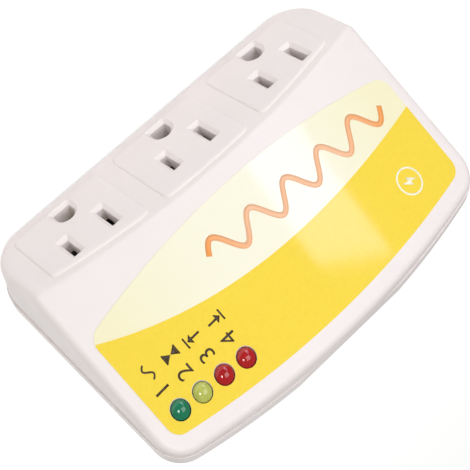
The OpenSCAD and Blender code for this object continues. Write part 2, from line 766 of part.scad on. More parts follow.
module ground_bus() color(brass_colour) stand() {
    on_strip() difference() {
        union() {
            translate([ground_bar_low(), -ground_offset - ground_bar_c/2, -ground_floor])
                cube([ground_bar_high() - ground_bar_low(), ground_bar_c, bus_t]);
            for (k = outlets) translate([k*outlet_pitch, -ground_offset, -ground_floor])
                cylinder(r = socket_in_r + socket_wall, h = ground_floor - socket_top);
        }
        for (k = outlets) translate([k*outlet_pitch, -ground_offset, -ground_floor - overrun]) {
            cylinder(r = socket_in_r, h = ground_floor + overrun);
            translate([-socket_slit/2, -socket_in_r - 2*socket_wall, bus_t + overrun + socket_slit])
                cube([socket_slit, 2*socket_in_r + 4*socket_wall, ground_floor]);
        }
    }
    translate([ground_tail_x - ground_tail_w/2, ground_tail_y - bus_t/2, ground_tail_low])
        cube([ground_tail_w, bus_t, ground_tail_top - ground_tail_low]);
}

module tray_screws() color(steel_colour) stand() on_strip() for (s = sides)
    translate([s*tray_screw_x, 0, -wall - tray_boss_h - tray_web])
        screw(small_screw_r, tray_screw_l, small_head_r, small_head_h);

// Plug

module blade(s) translate([s*blade_spacing/2, plug_y, 0]) rotate([90, 0, 90])
    linear_extrude(blade_t, center = true) difference() {
        polygon([[-blade_w/2, shoulder_z()], [-blade_w/2, -blade_l + blade_point],
            [-blade_w/2 + blade_point, -blade_l], [blade_w/2 - blade_point, -blade_l],
            [blade_w/2, -blade_l + blade_point], [blade_w/2, shoulder_z()], [shoulder_w/2, shoulder_z()],
            [shoulder_w/2, shoulder_z() + shoulder_t], [tab_w/2, shoulder_z() + shoulder_t],
            [tab_w/2, tab_top], [-tab_w/2, tab_top], [-tab_w/2, shoulder_z() + shoulder_t],
            [-shoulder_w/2, shoulder_z() + shoulder_t],
            [-shoulder_w/2, shoulder_z()]]);
        translate([0, -blade_l + blade_hole_in]) circle(blade_hole_r);
    }
function shoulder_z() = seat_h;
module line_blade() color(brass_colour) stand() blade(1);
module neutral_blade() color(brass_colour) stand() blade(-1);

module ground_pin() color(brass_colour) stand() translate([0, plug_y - ground_offset, 0]) {
    translate([0, 0, -pin_l + pin_r]) sphere(pin_r);
    translate([0, 0, -pin_l + pin_r]) cylinder(r = pin_r, h = pin_l - pin_r - pin_stand);
    translate([0, 0, -pin_stand]) cylinder(r = pin_neck_r, h = pin_stand + seat_h + shoulder_t);
    translate([0, 0, seat_h]) cylinder(r = pin_flange_r, h = shoulder_t);
    translate([-blade_t/2, -stud_w/2, seat_h]) cube([blade_t, stud_w, stud_top - seat_h]);
}

module plug_clamp() color(tray_grey) stand() difference() {
    translate([-clamp_half_w, clamp_low_y, seat_h + shoulder_t])
        cube([2*clamp_half_w, clamp_high_y - clamp_low_y, clamp_t]);
    for (s = sides) {
        translate([s*blade_spacing/2 - blade_t/2 - fit, plug_y - tab_w/2 - fit, seat_h])
            cube([blade_t + 2*fit, tab_w + 2*fit, tab_top]);
        translate([s*clamp_screw_x, clamp_screw_y, seat_h])
            cylinder(r = small_screw_r + screw_play, h = tab_top);
    }
    translate([-blade_t/2 - fit, plug_y - ground_offset - stud_w/2 - fit, seat_h])
        cube([blade_t + 2*fit, stud_w + 2*fit, tab_top]);
}

module clamp_screws() color(steel_colour) stand() for (s = sides)
    translate([s*clamp_screw_x, clamp_screw_y, clamp_top]) rotate([180, 0, 0])
        screw(small_screw_r, clamp_screw_l, small_head_r, small_head_h);

module case_screws() color(steel_colour) stand() for (p = case_places) translate([p.x, p.y, recess_h])
    screw(screw_r, screw_l, screw_head_r, screw_head_h);

// Circuit board and what stands on it

module circuit_board() color(board_green) stand() translate([0, 0, board_z]) linear_extrude(board_t)
    difference() {
        polygon([[board_left, board_low], [-notch_half_w, board_low], [-notch_half_w, notch_high],
            [notch_half_w, notch_high], [notch_half_w, board_low], [board_right, board_low],
            [board_right, board_high], [board_left, board_high]]);
        for (p = board_screw_places) translate(p) circle(small_screw_r + screw_play);
        for (p = case_places) translate(p) circle(rear_boss_r + boss_gap);
    }

module board_screws() color(steel_colour) stand() for (p = board_screw_places)
    translate([p.x, p.y, board_top]) rotate([180, 0, 0])
        screw(small_screw_r, board_screw_l, small_head_r, small_head_h);

module on_board(share, shift = 0)
    translate([on_board_share(share).x, on_board_share(share).y + shift, board_top])
    children();
module in_relay() on_board(relay_share) children();
module along_coil(x) translate([x, coil_y, coil_z]) rotate([0, 90, 0]) children();

module relay_base() color(case_black) stand() in_relay() cube([relay_l, relay_w, relay_base_t]);

module relay_case() color(case_black) stand() in_relay() difference() {
    translate([0, 0, relay_base_t]) cube([relay_l, relay_w, relay_h - relay_base_t]);
    translate([relay_wall, relay_wall, 0])
        cube([relay_l - 2*relay_wall, relay_w - 2*relay_wall, relay_h - relay_wall]);
}

module relay_yoke() color(steel_colour) stand() in_relay() {
    translate([yoke_x, yoke_y, relay_base_t]) cube([yoke_t, yoke_w, yoke_top - relay_base_t]);
    translate([yoke_x, yoke_y, yoke_top - yoke_t]) cube([yoke_l, yoke_w, yoke_t]);
}

module relay_bobbin() color([0.85, 0.82, 0.72]) stand() in_relay() difference() {
    union() {
        along_coil(yoke_x + yoke_t) cylinder(r = bobbin_tube_r, h = coil_l);
        for (x = [0, coil_l - flange_t])
            translate([yoke_x + yoke_t + x, coil_y - flange_half, coil_z - flange_half])
            cube([flange_t, 2*flange_half, 2*flange_half]);
    }
    along_coil(yoke_x) cylinder(r = core_r + core_play, h = coil_l + 2*yoke_t);
}

module relay_coil() color(copper_colour) stand() in_relay() difference() {
    along_coil(yoke_x + yoke_t + flange_t) cylinder(r = coil_r, h = coil_l - 2*flange_t);
    along_coil(yoke_x) cylinder(r = bobbin_tube_r, h = coil_l + 2*yoke_t);
}

module relay_core() color(steel_colour) stand() in_relay() {
    along_coil(yoke_x + yoke_t) cylinder(r = core_r, h = pole_face_x - yoke_x - yoke_t);
    along_coil(pole_face_x - pole_t) cylinder(r = pole_r, h = pole_t);
}

module relay_armature() color(steel_colour) stand() in_relay() {
    translate([armature_x, yoke_y, armature_low]) cube([armature_t, yoke_w, pivot_z - armature_low]);
    translate([pivot_x, yoke_y + yoke_w, pivot_z]) rotate([90, 0, 0]) cylinder(r = knuckle_r, h = yoke_w);
}

module relay_contact_spring() color(copper_colour) stand() in_relay() {
    translate([armature_x + armature_t, spring_y, spring_low])
        cube([spring_t, spring_w, spring_high - spring_low]);
    translate([armature_x + armature_t - button_t, button_y, button_z]) rotate([0, 90, 0])
        cylinder(r = button_r, h = 2*button_t + spring_t);
}

module fixed_contact(x, face) {
    translate([x, button_y - post_half_w, relay_base_t])
        cube([post_t, 2*post_half_w, post_top - relay_base_t]);
    translate([face, button_y, button_z]) rotate([0, 90, 0]) cylinder(r = button_r, h = button_t);
}

module relay_fixed_contacts() color(brass_colour) stand() in_relay() {
    pulled_face = armature_x + armature_t - button_t - contact_gap;
    rest_face = armature_x + armature_t + spring_t + button_t + rest_gap;
    fixed_contact(pulled_face - button_t - post_t + hair, pulled_face - button_t);
    fixed_contact(rest_face + button_t - hair, rest_face);
}

module varistors() color([0.15, 0.30, 0.62]) stand() for (share = varistor_shares) on_board(share) {
    translate([0, varistor_t/2, varistor_r + varistor_lift]) rotate([90, 0, 0])
        cylinder(r = varistor_r, h = varistor_t);
    translate([-varistor_r/2, -varistor_t/4, 0]) cube([varistor_r, varistor_t/2, varistor_r]);
}

module film_capacitor() color([0.92, 0.78, 0.25]) stand() on_board(film_share)
    translate([-film_l/2, -film_w/2, 0]) cube([film_l, film_w, film_h]);

module filter_capacitor() color([0.14, 0.16, 0.22]) stand() on_board(filter_share) difference() {
    cylinder(r = filter_r, h = filter_h);
    translate([0, 0, crimp_h]) rotate_extrude() translate([filter_r, 0]) circle(crimp_r);
}

module diodes() color(case_black) stand() for (i = [0 : diode_count - 1])
    on_board(diode_share, i*diode_pitch) axial(diode_r, diode_l, diode_span);

module power_resistor() color([0.70, 0.72, 0.66]) stand() on_board(power_share)
    axial(power_r, power_l, power_span);

module signal_resistors() color([0.80, 0.66, 0.48]) stand() for (i = [0 : resistor_count - 1])
    on_board(resistor_share, i*resistor_pitch) axial(resistor_r, resistor_l, resistor_span);

module ceramic_capacitors() color([0.86, 0.55, 0.20]) stand() for (share = ceramic_shares) on_board(share) {
    translate([0, ceramic_t/2, ceramic_r + ceramic_t/2]) rotate([90, 0, 0])
        cylinder(r = ceramic_r, h = ceramic_t);
    for (s = sides) translate([s*ceramic_r/2, 0, 0]) cylinder(r = lead_r, h = ceramic_r);
}

module controller_chip() color(case_black) stand() on_board(chip_share) {
    translate([-chip_l/2, -chip_w/2, chip_rise]) cube([chip_l, chip_w, chip_h]);
    for (i = [0 : chip_leg_count - 1]) for (s = sides)
        translate([(i - (chip_leg_count - 1)/2)*chip_leg_pitch - chip_leg_w/2,
            s*(chip_w + chip_leg_reach)/2 - chip_leg_reach/2, 0])
            cube([chip_leg_w, chip_leg_reach, chip_rise + chip_h/2]);
}

module relay_transistor() color(case_black) stand() on_board(transistor_share) {
    translate([0, 0, transistor_lift]) intersection() {
        cylinder(r = transistor_r, h = transistor_h);
        translate([-transistor_r, -transistor_flat, 0]) cube([2*transistor_r, 2*transistor_r, transistor_h]);
    }
    for (i = outlets) translate([i*lead_half_gap, 0, 0]) cylinder(r = lead_r, h = transistor_lift);
}

module trimmer() color([0.20, 0.40, 0.72]) stand() on_board(trimmer_share) difference() {
    union() {
        translate([-trimmer_w/2, -trimmer_w/2, 0]) cube([trimmer_w, trimmer_w, trimmer_h]);
        translate([0, 0, trimmer_h]) cylinder(r = trimmer_rotor_r, h = trimmer_rotor_h);
    }
    translate([-trimmer_rotor_r, -cross_w/2, trimmer_h])
        cube([2*trimmer_rotor_r, cross_w, trimmer_rotor_h + overrun]);
}

module at_fuse(x) on_board(fuse_share) translate([x, 0, fuse_lift + fuse_r + fuse_cap_t]) rotate([0, 90, 0])
    children();

module fuse_tube() color([0.85, 0.92, 0.94, 0.5]) stand() difference() {
    at_fuse(-fuse_l/2 + fuse_cap_t) cylinder(r = fuse_r, h = fuse_l - 2*fuse_cap_t);
    at_fuse(-fuse_l/2) cylinder(r = fuse_r - 2*fuse_cap_t, h = fuse_l);
}

module fuse_caps() color(steel_colour) stand() for (s = sides) difference() {
    at_fuse(s > 0 ? fuse_l/2 - fuse_cap_l : -fuse_l/2) cylinder(r = fuse_r + fuse_cap_t, h = fuse_cap_l);
    at_fuse(-fuse_l/2 + fuse_cap_t) cylinder(r = fuse_r, h = fuse_l - 2*fuse_cap_t);
}

// Spring clips: a ring round each cap, open at the top, on a foot that stands on the board
module fuse_clips() color(brass_colour) stand() for (s = sides) {
    x = s*(fuse_l/2 - fuse_cap_l/2);
    difference() {
        union() {
            at_fuse(x - clip_l/2) cylinder(r = fuse_r + fuse_cap_t + clip_t, h = clip_l);
            on_board(fuse_share) translate([x - clip_l/2, -fuse_r/2, 0])
                cube([clip_l, fuse_r, fuse_lift + fuse_cap_t]);
        }
        at_fuse(x - clip_l) cylinder(r = fuse_r + fuse_cap_t, h = 2*clip_l);
        on_board(fuse_share) translate([x - clip_l, -fuse_r*cos(45), fuse_lift + fuse_r + fuse_cap_t])
            cube([2*clip_l, 2*fuse_r*cos(45), 2*fuse_r]);
    }
}

// Wires

function feed_path(s) = [[s*(blade_spacing/2 + blade_t/2), plug_y, tab_z], [s*feed_x, plug_y, tab_z],
    [s*feed_x, feed_y, tab_z], [s*feed_x, feed_y, board_top]];
function outlet_tail(x) = from_strip([x, tray_high + fit + wire_r, -tail_depth - bus_t]);
function outlet_land_y(x) = outlet_tail(x).y
    + (outlet_tail(x).z - board_top - outlet_land_rise)*tan(strip_tilt);
function outlet_path(x) = [[x, outlet_land_y(x), board_top],
    [x, outlet_land_y(x), board_top + outlet_land_rise], outlet_tail(x)];
module line_feed_wire() color([0.12, 0.12, 0.13]) stand() wire(feed_path(1), wire_r);
module neutral_feed_wire() color([0.88, 0.88, 0.86]) stand() wire(feed_path(-1), wire_r);
module line_outlet_wire() color([0.12, 0.12, 0.13]) stand() wire(outlet_path(line_tail_x), wire_r);
module neutral_outlet_wire() color([0.88, 0.88, 0.86]) stand() wire(outlet_path(neutral_tail_x), wire_r);
module ground_wire() color([0.12, 0.50, 0.22]) stand() wire([
    [blade_t/2, plug_y - ground_offset, ground_wire_z],
    [ground_tail_x, plug_y - ground_offset, ground_wire_z],
    [ground_tail_x, plug_y - ground_offset, ground_wire_low],
    [ground_tail_x, ground_tail_y + bus_t/2, ground_wire_low]], wire_r);

front_cover();
rear_cover();
label();
status_light_green();
status_light_yellow();
status_light_red_lower();
status_light_red_upper();
light_leads();
circuit_board();
board_screws();
case_screws();
contact_tray();
tray_screws();
line_bus();
neutral_bus();
ground_bus();
line_blade();
neutral_blade();
ground_pin();
plug_clamp();
clamp_screws();
relay_base();
relay_case();
relay_bobbin();
relay_coil();
relay_core();
relay_yoke();
relay_armature();
relay_contact_spring();
relay_fixed_contacts();
varistors();
film_capacitor();
filter_capacitor();
diodes();
power_resistor();
signal_resistors();
ceramic_capacitors();
controller_chip();
relay_transistor();
trimmer();
fuse_tube();
fuse_caps();
fuse_clips();
line_feed_wire();
neutral_feed_wire();
line_outlet_wire();
neutral_outlet_wire();
ground_wire();
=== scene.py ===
"""Plug-in surge protector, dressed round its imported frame: camera, light, smooth covers, label and finishes."""

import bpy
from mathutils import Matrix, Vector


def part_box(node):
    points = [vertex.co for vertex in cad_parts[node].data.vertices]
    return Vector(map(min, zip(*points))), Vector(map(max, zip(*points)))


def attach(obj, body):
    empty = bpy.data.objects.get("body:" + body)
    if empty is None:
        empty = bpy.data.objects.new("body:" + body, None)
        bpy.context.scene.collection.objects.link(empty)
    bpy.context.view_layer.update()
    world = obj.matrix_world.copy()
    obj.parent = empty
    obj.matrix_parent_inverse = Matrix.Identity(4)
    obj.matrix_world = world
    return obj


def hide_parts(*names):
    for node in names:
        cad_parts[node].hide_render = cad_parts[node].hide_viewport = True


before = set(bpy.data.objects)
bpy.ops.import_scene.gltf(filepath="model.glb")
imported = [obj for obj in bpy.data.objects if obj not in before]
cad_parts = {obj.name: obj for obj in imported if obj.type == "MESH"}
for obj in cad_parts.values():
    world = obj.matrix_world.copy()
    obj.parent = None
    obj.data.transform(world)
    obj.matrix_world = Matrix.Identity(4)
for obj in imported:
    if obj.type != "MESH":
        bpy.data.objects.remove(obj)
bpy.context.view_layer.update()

import math

import bmesh
import bpy
import numpy as np
from mathutils import Matrix, Vector

MM = 0.001     # a millimetre in metres

# Sizes in millimetres, tilts in radians, PAD_CREASE in degrees. Case, outlets, plug, label and lights are as in the
# part's source. The low corners, the rounding of rim and ridge, the pads, the bevels, the sleeves and the gap round
# the lights are the scene's own, mostly set after the photo.
BODY_W, BELOW_RIDGE, ABOVE_RIDGE, RIDGE_H = 118.2, 29.6, 51.2, 33.0
STRIP_TILT, LABEL_TILT = math.radians(26.5), math.radians(24.0)
ARCH_R, TOP_R, CORNER_R, LOW_CORNER_R, EDGE_R, RIDGE_R = 303.0, 240.0, 9.0, 11.5, 2.6, 1.3
WALL, DRAFT, SEAM_H, SEAM_ROUND, RIM_STEP, CORE_END = 2.0, 0.04, 5.5, 0.35, 0.4, 46.0
PLUG_Y, BLADE_ROW_DROP, PITCH, BLADE_SPACING, GROUND_OFFSET = 8.0, 13.2, 35.1, 12.7, 11.9
PAD_W, PAD_H, PAD_LOW, PAD_MARGIN, PAD_SHIFT = 29.7, 0.6, 16.1, 1.8, 0.7
PAD_RIM, PAD_RING, PAD_ROOT, PAD_TOP_R, PAD_CORNER, PAD_CREASE = 1.0, 0.4, 1.0, 200.0, 1.9, 26.0
SLOT_W, LIVE_L, NEUTRAL_L, SLOT_LEAD, SLOT_CORNER = 2.3, 6.8, 8.1, 1.05, 0.2
SLEEVE_FOOT, SLEEVE_TOP, SLEEVE_WIDER, SLEEVE_WALL, SLEEVE_ROUND_WALL = 4.4, 0.6, 1.1, 0.35, 0.5
GROUND_R, GROUND_FLAT, GROUND_CORNER, OPENING_CLEARANCE = 2.8, 2.4, 0.5, 0.2
LABEL_T, LABEL_HALF_W, LABEL_LOW, LABEL_LOW_R, LABEL_MARGIN, LABEL_CORNER = 0.25, 54.4, 4.6, 330.0, 4.6, 4.0
FILM_GAP, FILM_HOLE_GAP, MARK_GAP, MARK_LIFT, STROKE = 0.01, 0.06, 0.002, 0.03, 0.36
LIGHT_R, LIGHT_GAP, LIGHT_MOUTH, LIGHT_RISE, LENS_EQUATOR = 2.5, 0.18, 0.12, 1.4, 0.25
LIGHT_PITCH, LIGHT_ROW_TILT, LIGHT_ROW_X, LIGHT_ROW_Y = 7.18, math.radians(6.2), 38.0, 37.2
LIP_T, LIP_DEPTH = 1.5, 3.0
FRONT_INSET = WALL + DRAFT*(RIDGE_H - SEAM_H)
TRAY_BOSS_R, TRAY_BOSS_H, CASE_BOSS_R, BOSS_CHAMFER, PILOT_ROOF = 2.9, 5.9, 2.9, 0.25, 1.0
CASE_PLACES = [(52.0, -21.0), (-52.0, -21.0), (52.9, 22.0), (-52.9, 22.0)]
BOSS_MEET, CASE_PILOT_TOP, CASE_PILOT_R, TRAY_PILOT_R = 5.0, 12.8, 1.4, 1.05
# The rear cover's low corners reach this far past their quarter circles and this deep into the wall
CORNER_SLACK, CORNER_DEPTH = 0.02, 3.4
# Width of the rear cover's rounded edges
BEVEL_W = 0.25
# Points nearer than this are one point, in metres; a length of practically nothing, in millimetres
MERGE, TINY = 2e-6, 1e-4


# ---------------------------------------------------------------- shape of the housing

def arch_fall(x, drop=0.0):
    """Fall of the arched panel, sunk by drop, below its middle line.

    It is the arch's radius less the root of (radius - drop) squared less x squared, over the tilt's cosine."""
    return (ARCH_R - np.sqrt((ARCH_R - drop)**2 - x*x))/math.cos(LABEL_TILT)


def panel_h(x, y, drop=0.0):
    """Height of the panel, sunk by drop along its normal: ridge height less slope times y less the arch's fall."""
    return RIDGE_H - math.tan(LABEL_TILT)*y - arch_fall(x, drop)


def strip_h(y, drop=0.0):
    """Height of the outlet strip, sunk by drop: ridge height plus slope times y."""
    return RIDGE_H + math.tan(STRIP_TILT)*y - drop/math.cos(STRIP_TILT)


def ridge_y(x, drop):
    """Where the strip and the panel, both sunk by drop, are equally high."""
    return (drop/math.cos(STRIP_TILT) - arch_fall(x, drop))/(math.tan(STRIP_TILT) + math.tan(LABEL_TILT))


def strip_normal(x):
    """Unit normal of the strip, one row for each x."""
    n = np.zeros((len(x), 3))
    n[:, 1], n[:, 2] = -math.sin(STRIP_TILT), math.cos(STRIP_TILT)
    return n


def panel_normal(x, drop):
    """Unit normal of the arched panel at x, measured on the surface sunk by drop."""
    s = x/(ARCH_R - drop)
    c = np.sqrt(1 - s*s)
    return np.stack([s, math.sin(LABEL_TILT)*c, math.cos(LABEL_TILT)*c], 1)


def arc(centre, radius, a0, a1, count):
    """Points and outward normals along a circle's arc from angle a0 to a1, in degrees."""
    a = np.radians(np.linspace(a0, a1, count))
    n = np.stack([np.cos(a), np.sin(a)], 1)
    return np.array(centre) + radius*n, n


def straight(p0, p1, count):
    """Points from p0 to p1 without the two ends, and the normal on their right-hand side."""
    t = np.linspace(0, 1, count + 2)[1:-1, None]
    d = np.array(p1) - np.array(p0)
    n = np.array([d[1], -d[0]])/np.hypot(*d)
    return np.array(p0) + t*d, np.repeat(n[None], count, 0)


TOP_CENTRE = (0.0, ABOVE_RIDGE - TOP_R)
CORNER_X = BODY_W/2 - CORNER_R
LOW_X, LOW_Y = BODY_W/2 - LOW_CORNER_R, -BELOW_RIDGE + LOW_CORNER_R
HIGH_Y = TOP_CENTRE[1] + math.sqrt((TOP_R - CORNER_R)**2 - CORNER_X**2)
CORNER_END = 90 - math.degrees(math.atan2(CORNER_X, HIGH_Y - TOP_CENTRE[1]))


def rim_halves(kink_y, corner=22, side=8, long=110):
    """The plan's outline in two halves with equal counts, both from the right end to the left one.

    The lower half runs down the right wall, round two corners and along the lower wall; the upper half runs up,
    round two corners and along the arc of the upper wall. Each is points and outward normals."""
    half = BODY_W/2
    lower = [straight((half, kink_y), (half, LOW_Y), side), arc((LOW_X, LOW_Y), LOW_CORNER_R, 0, -90, corner),
             straight((LOW_X, -BELOW_RIDGE), (-LOW_X, -BELOW_RIDGE), long),
             arc((-LOW_X, LOW_Y), LOW_CORNER_R, -90, -180, corner),
             straight((-half, LOW_Y), (-half, kink_y), side)]
    upper = [straight((half, kink_y), (half, HIGH_Y), side), arc((CORNER_X, HIGH_Y), CORNER_R, 0, CORNER_END, corner),
             arc(TOP_CENTRE, TOP_R, CORNER_END, 180 - CORNER_END, long + 2),
             arc((-CORNER_X, HIGH_Y), CORNER_R, 180 - CORNER_END, 180, corner),
             straight((-half, HIGH_Y), (-half, kink_y), side)]
    upper[2] = (upper[2][0][1:-1], upper[2][1][1:-1])
    halves, inside = [], np.array([0.0, 10.0])
    for parts in (lower, upper):
        p = np.concatenate([q[0] for q in parts])
        n = np.concatenate([q[1] for q in parts])
        outward = np.where((n*(p - inside)).sum(1) < 0, -1.0, 1.0)
        halves.append((p, n*outward[:, None]))
    return halves


def turn_between(a, b, t):
    """Unit vectors that turn evenly from a to b as t goes from 0 to 1."""
    angle = np.arccos(np.clip((a*b).sum(-1), -1, 1))[..., None]
    small = angle < 1e-6
    s = np.where(small, 1.0, np.sin(angle))
    out = np.where(small, a, (np.sin((1 - t)*angle)*a + np.sin(t*angle)*b)/s)
    return out/np.linalg.norm(out, axis=-1, keepdims=True)


def grid_faces(rows, columns, wrap, start=0):
    """Quads of a grid with that many rows and columns; wrap joins the last column to the first."""
    r, c = np.meshgrid(np.arange(rows - 1), np.arange(columns if wrap else columns - 1), indexing="ij")
    n = (c + 1) % columns
    return (np.stack([r*columns + c, r*columns + n, (r + 1)*columns + n, (r + 1)*columns + c], -1).reshape(-1, 4)
            + start)


def front_shell():
    """Closed shell of the front cover.

    A ball of the edge's radius rolls along the rim of a body that is smaller by that radius. Rows of the grid are:
    the seam edge, the leaning wall, the ball's turn from the wall's normal to the face's normal, and the face, which
    runs in to a core line under the ridge, while the ball shrinks to the ridge's radius. The ridge itself is the
    ball's turn from the strip's normal to the panel's. The inner side repeats this with the wall's thickness and
    sharp edges."""
    # The wall leans in with its height, and the height depends on the lean, so both are found by repeating
    lean = EDGE_R
    for _ in range(6):
        x = np.array([BODY_W/2 - lean])
        lean = EDGE_R + DRAFT*(strip_h(ridge_y(x, EDGE_R), EDGE_R)[0] - SEAM_H)
    kink_y = ridge_y(np.array([BODY_W/2 - lean]), EDGE_R)[0]
    (low_p, low_n), (high_p, high_n) = rim_halves(kink_y)
    count = len(low_p)
    turns = 7      # columns that turn from the one face to the other at each end of the ridge
    core_x = np.linspace(CORE_END, -CORE_END, count)
    end = np.array([[1.0, 0.0]])
    p0 = np.concatenate([np.repeat([[BODY_W/2, kink_y]], turns, 0), low_p,
                         np.repeat([[-BODY_W/2, kink_y]], turns, 0), high_p[::-1]])
    n0 = np.concatenate([np.repeat(end, turns, 0), low_n, np.repeat(-end, turns, 0), high_n[::-1]])
    blend = np.concatenate([np.linspace(1, 0, turns), np.zeros(count), np.linspace(0, 1, turns), np.ones(count)])
    core = np.concatenate([np.full(turns, core_x[0]), core_x, np.full(turns, core_x[-1]), core_x[::-1]])
    on_strip = np.concatenate([np.zeros(turns, bool), np.ones(count, bool), np.zeros(turns + count, bool)])
    on_panel = np.concatenate([np.zeros(2*turns + count, bool), np.ones(count, bool)])

    def surface(xy, drop):
        """Height of the body sunk by drop, and the unit normal of the face that each station belongs to."""
        z = np.where(on_strip, strip_h(xy[:, 1], drop), panel_h(xy[:, 0], xy[:, 1], drop))
        z = np.where(on_strip | on_panel, z, np.minimum(strip_h(xy[:, 1], drop), panel_h(xy[:, 0], xy[:, 1], drop)))
        n = turn_between(strip_normal(xy[:, 0]), panel_normal(xy[:, 0], drop), blend[:, None])
        return z, n

    rest = p0 - n0*EDGE_R
    rest_h = np.minimum(strip_h(rest[:, 1], EDGE_R), panel_h(rest[:, 0], rest[:, 1], EDGE_R))
    ball = p0 - n0*(EDGE_R + DRAFT*(rest_h - SEAM_H))[:, None]
    ball_h, face_n = surface(ball, EDGE_R)
    wall_n = np.concatenate([n0, np.full((len(n0), 1), DRAFT)], 1)
    wall_n /= np.linalg.norm(wall_n, axis=1, keepdims=True)
    centre = np.concatenate([ball, ball_h[:, None]], 1)
    rows = []

    def flat_row(inset, height):
        rows.append(np.concatenate([p0 - n0*inset, np.full((len(p0), 1), height)], 1))

    # The groove of the lip, then the seam's rounded edge
    for inset, rise in ((LIP_T, LIP_DEPTH), (LIP_T, 0.0), (SEAM_ROUND, 0.0), (0.1, 0.08), (0.0, SEAM_ROUND)):
        flat_row(inset, SEAM_H + rise)
    foot, top = rows[-1], centre + EDGE_R*wall_n
    for t in np.linspace(0, 1, 7)[1:]:
        rows.append(foot + (top - foot)*t)
    for t in np.linspace(0, 1, 9)[1:]:
        rows.append(centre + EDGE_R*turn_between(wall_n, face_n, t))
    core_xy = np.stack([core, ridge_y(core, RIDGE_R)], 1)
    for t in np.concatenate([[0.02, 0.06], np.linspace(0.12, 1, 16)]):
        xy = ball + (core_xy - ball)*t
        drop = EDGE_R + (RIDGE_R - EDGE_R)*t
        z, n = surface(xy, drop)
        rows.append(np.concatenate([xy, z[:, None]], 1) + drop*n)
    outer = np.array(rows)
    # The crease over the core line, from the strip's edge to the panel's
    xy = np.stack([core_x, ridge_y(core_x, RIDGE_R)], 1)
    z = strip_h(xy[:, 1], RIDGE_R)
    crease = []
    for t in np.linspace(0, 1, turns):
        n = turn_between(strip_normal(core_x), panel_normal(core_x, RIDGE_R), np.full((count, 1), t))
        crease.append(np.concatenate([xy, z[:, None]], 1) + RIDGE_R*n)
    # Inner side
    rows = []
    flat_row(LIP_T, SEAM_H + LIP_DEPTH)
    flat_row(FRONT_INSET, SEAM_H + LIP_DEPTH)
    rim = p0 - n0*FRONT_INSET
    core_xy = np.stack([core, ridge_y(core, WALL)], 1)
    for t in np.linspace(0, 1, 6):
        xy = rim + (core_xy - rim)*t
        z = np.minimum(strip_h(xy[:, 1], WALL), panel_h(xy[:, 0], xy[:, 1], WALL))
        rows.append(np.concatenate([xy, z[:, None]], 1))
    inner = np.array(rows)
    columns = outer.shape[1]
    verts = [outer.reshape(-1, 3)]
    faces = [grid_faces(len(outer), columns, True)]
    size = outer.shape[0]*columns
    verts.append(np.array(crease).reshape(-1, 3))
    faces.append(grid_faces(turns, count, False, size)[:, ::-1])
    size += turns*count
    verts.append(inner.reshape(-1, 3))
    faces.append(grid_faces(len(inner), columns, True, size)[:, ::-1])
    last = size + (len(inner) - 1)*columns
    i = np.arange(count - 1)
    strip_side = last + turns + i
    panel_side = last + columns - 1 - i
    faces.append(np.stack([strip_side, strip_side + 1, panel_side - 1, panel_side], 1))
    return np.concatenate(verts), np.concatenate(faces)


# ---------------------------------------------------------------- mesh helpers

def to_row(points):
    """From the housing's own millimetres, lying on its back, to the row frame in metres, upright."""
    p = np.asarray(points, float)
    return np.stack([p[..., 0], -p[..., 2], p[..., 1] - PLUG_Y], -1)*MM


def on_strip_frame(points):
    """From the strip's frame (across, up the strip from the blade row, outwards) to the housing's frame."""
    p = np.asarray(points, float)
    c, s = math.cos(STRIP_TILT), math.sin(STRIP_TILT)
    up, out = p[..., 1] - BLADE_ROW_DROP, p[..., 2]
    return np.stack([p[..., 0], up*c - out*s, RIDGE_H + up*s + out*c], -1)


def new_object(name, verts, faces):
    """A mesh object from vertices in metres and a list or array of faces, with doubles merged, facing outwards."""
    mesh = bpy.data.meshes.new(name)
    mesh.from_pydata([tuple(v) for v in verts.tolist()], [], [tuple(f) for f in faces])
    piece = bpy.data.objects.new(name, mesh)
    bpy.context.collection.objects.link(piece)
    bm = bmesh.new()
    bm.from_mesh(mesh)
    bmesh.ops.remove_doubles(bm, verts=bm.verts, dist=MERGE)
    bmesh.ops.dissolve_degenerate(bm, edges=bm.edges, dist=1e-6)
    bmesh.ops.recalc_face_normals(bm, faces=bm.faces)
    if bm.calc_volume(signed=True) < 0:
        bmesh.ops.reverse_faces(bm, faces=bm.faces)
    for face in bm.faces:
        face.smooth = True
    bm.to_mesh(mesh)
    bm.free()
    return piece


def loft(loops):
    """Vertices and faces of a closed skin through equal closed loops, with a flat cap at each end."""
    loops = np.array(loops)
    rows, columns = loops.shape[:2]
    faces = [tuple(f) for f in grid_faces(rows, columns, True)]
    faces.append(tuple(range(columns))[::-1])
    faces.append(tuple(range((rows - 1)*columns, rows*columns)))
    return loops.reshape(-1, 3), faces


def join_shells(shells):
    """One list of vertices and faces out of several."""
    verts, faces, start = [], [], 0
    for v, f in shells:
        verts.append(v)
        faces += [tuple(int(i) + start for i in face) for face in f]
        start += len(v)
    return np.concatenate(verts), faces


def combine(piece, other, operation):
    """Joins a closed mesh to a piece (UNION) or cuts it out of the piece (DIFFERENCE), and drops that mesh."""
    modifier = piece.modifiers.new("combine", "BOOLEAN")
    modifier.operation = operation
    modifier.solver = "EXACT"
    modifier.object = other
    with bpy.context.temp_override(object=piece, active_object=piece):
        bpy.ops.object.modifier_apply(modifier=modifier.name)
    bpy.data.objects.remove(other)
    for polygon in piece.data.polygons:
        polygon.use_smooth = True


def crisp(piece, angle=32.0):
    """Smooth shading that keeps edges sharper than the angle, with normals led by the larger faces."""
    bm = bmesh.new()
    bm.from_mesh(piece.data)
    limit = math.radians(angle)
    for edge in bm.edges:
        edge.smooth = not (len(edge.link_faces) == 2 and edge.calc_face_angle(0) > limit)
    bm.to_mesh(piece.data)
    bm.free()
    modifier = piece.modifiers.new("normals", "WEIGHTED_NORMAL")
    modifier.keep_sharp = True


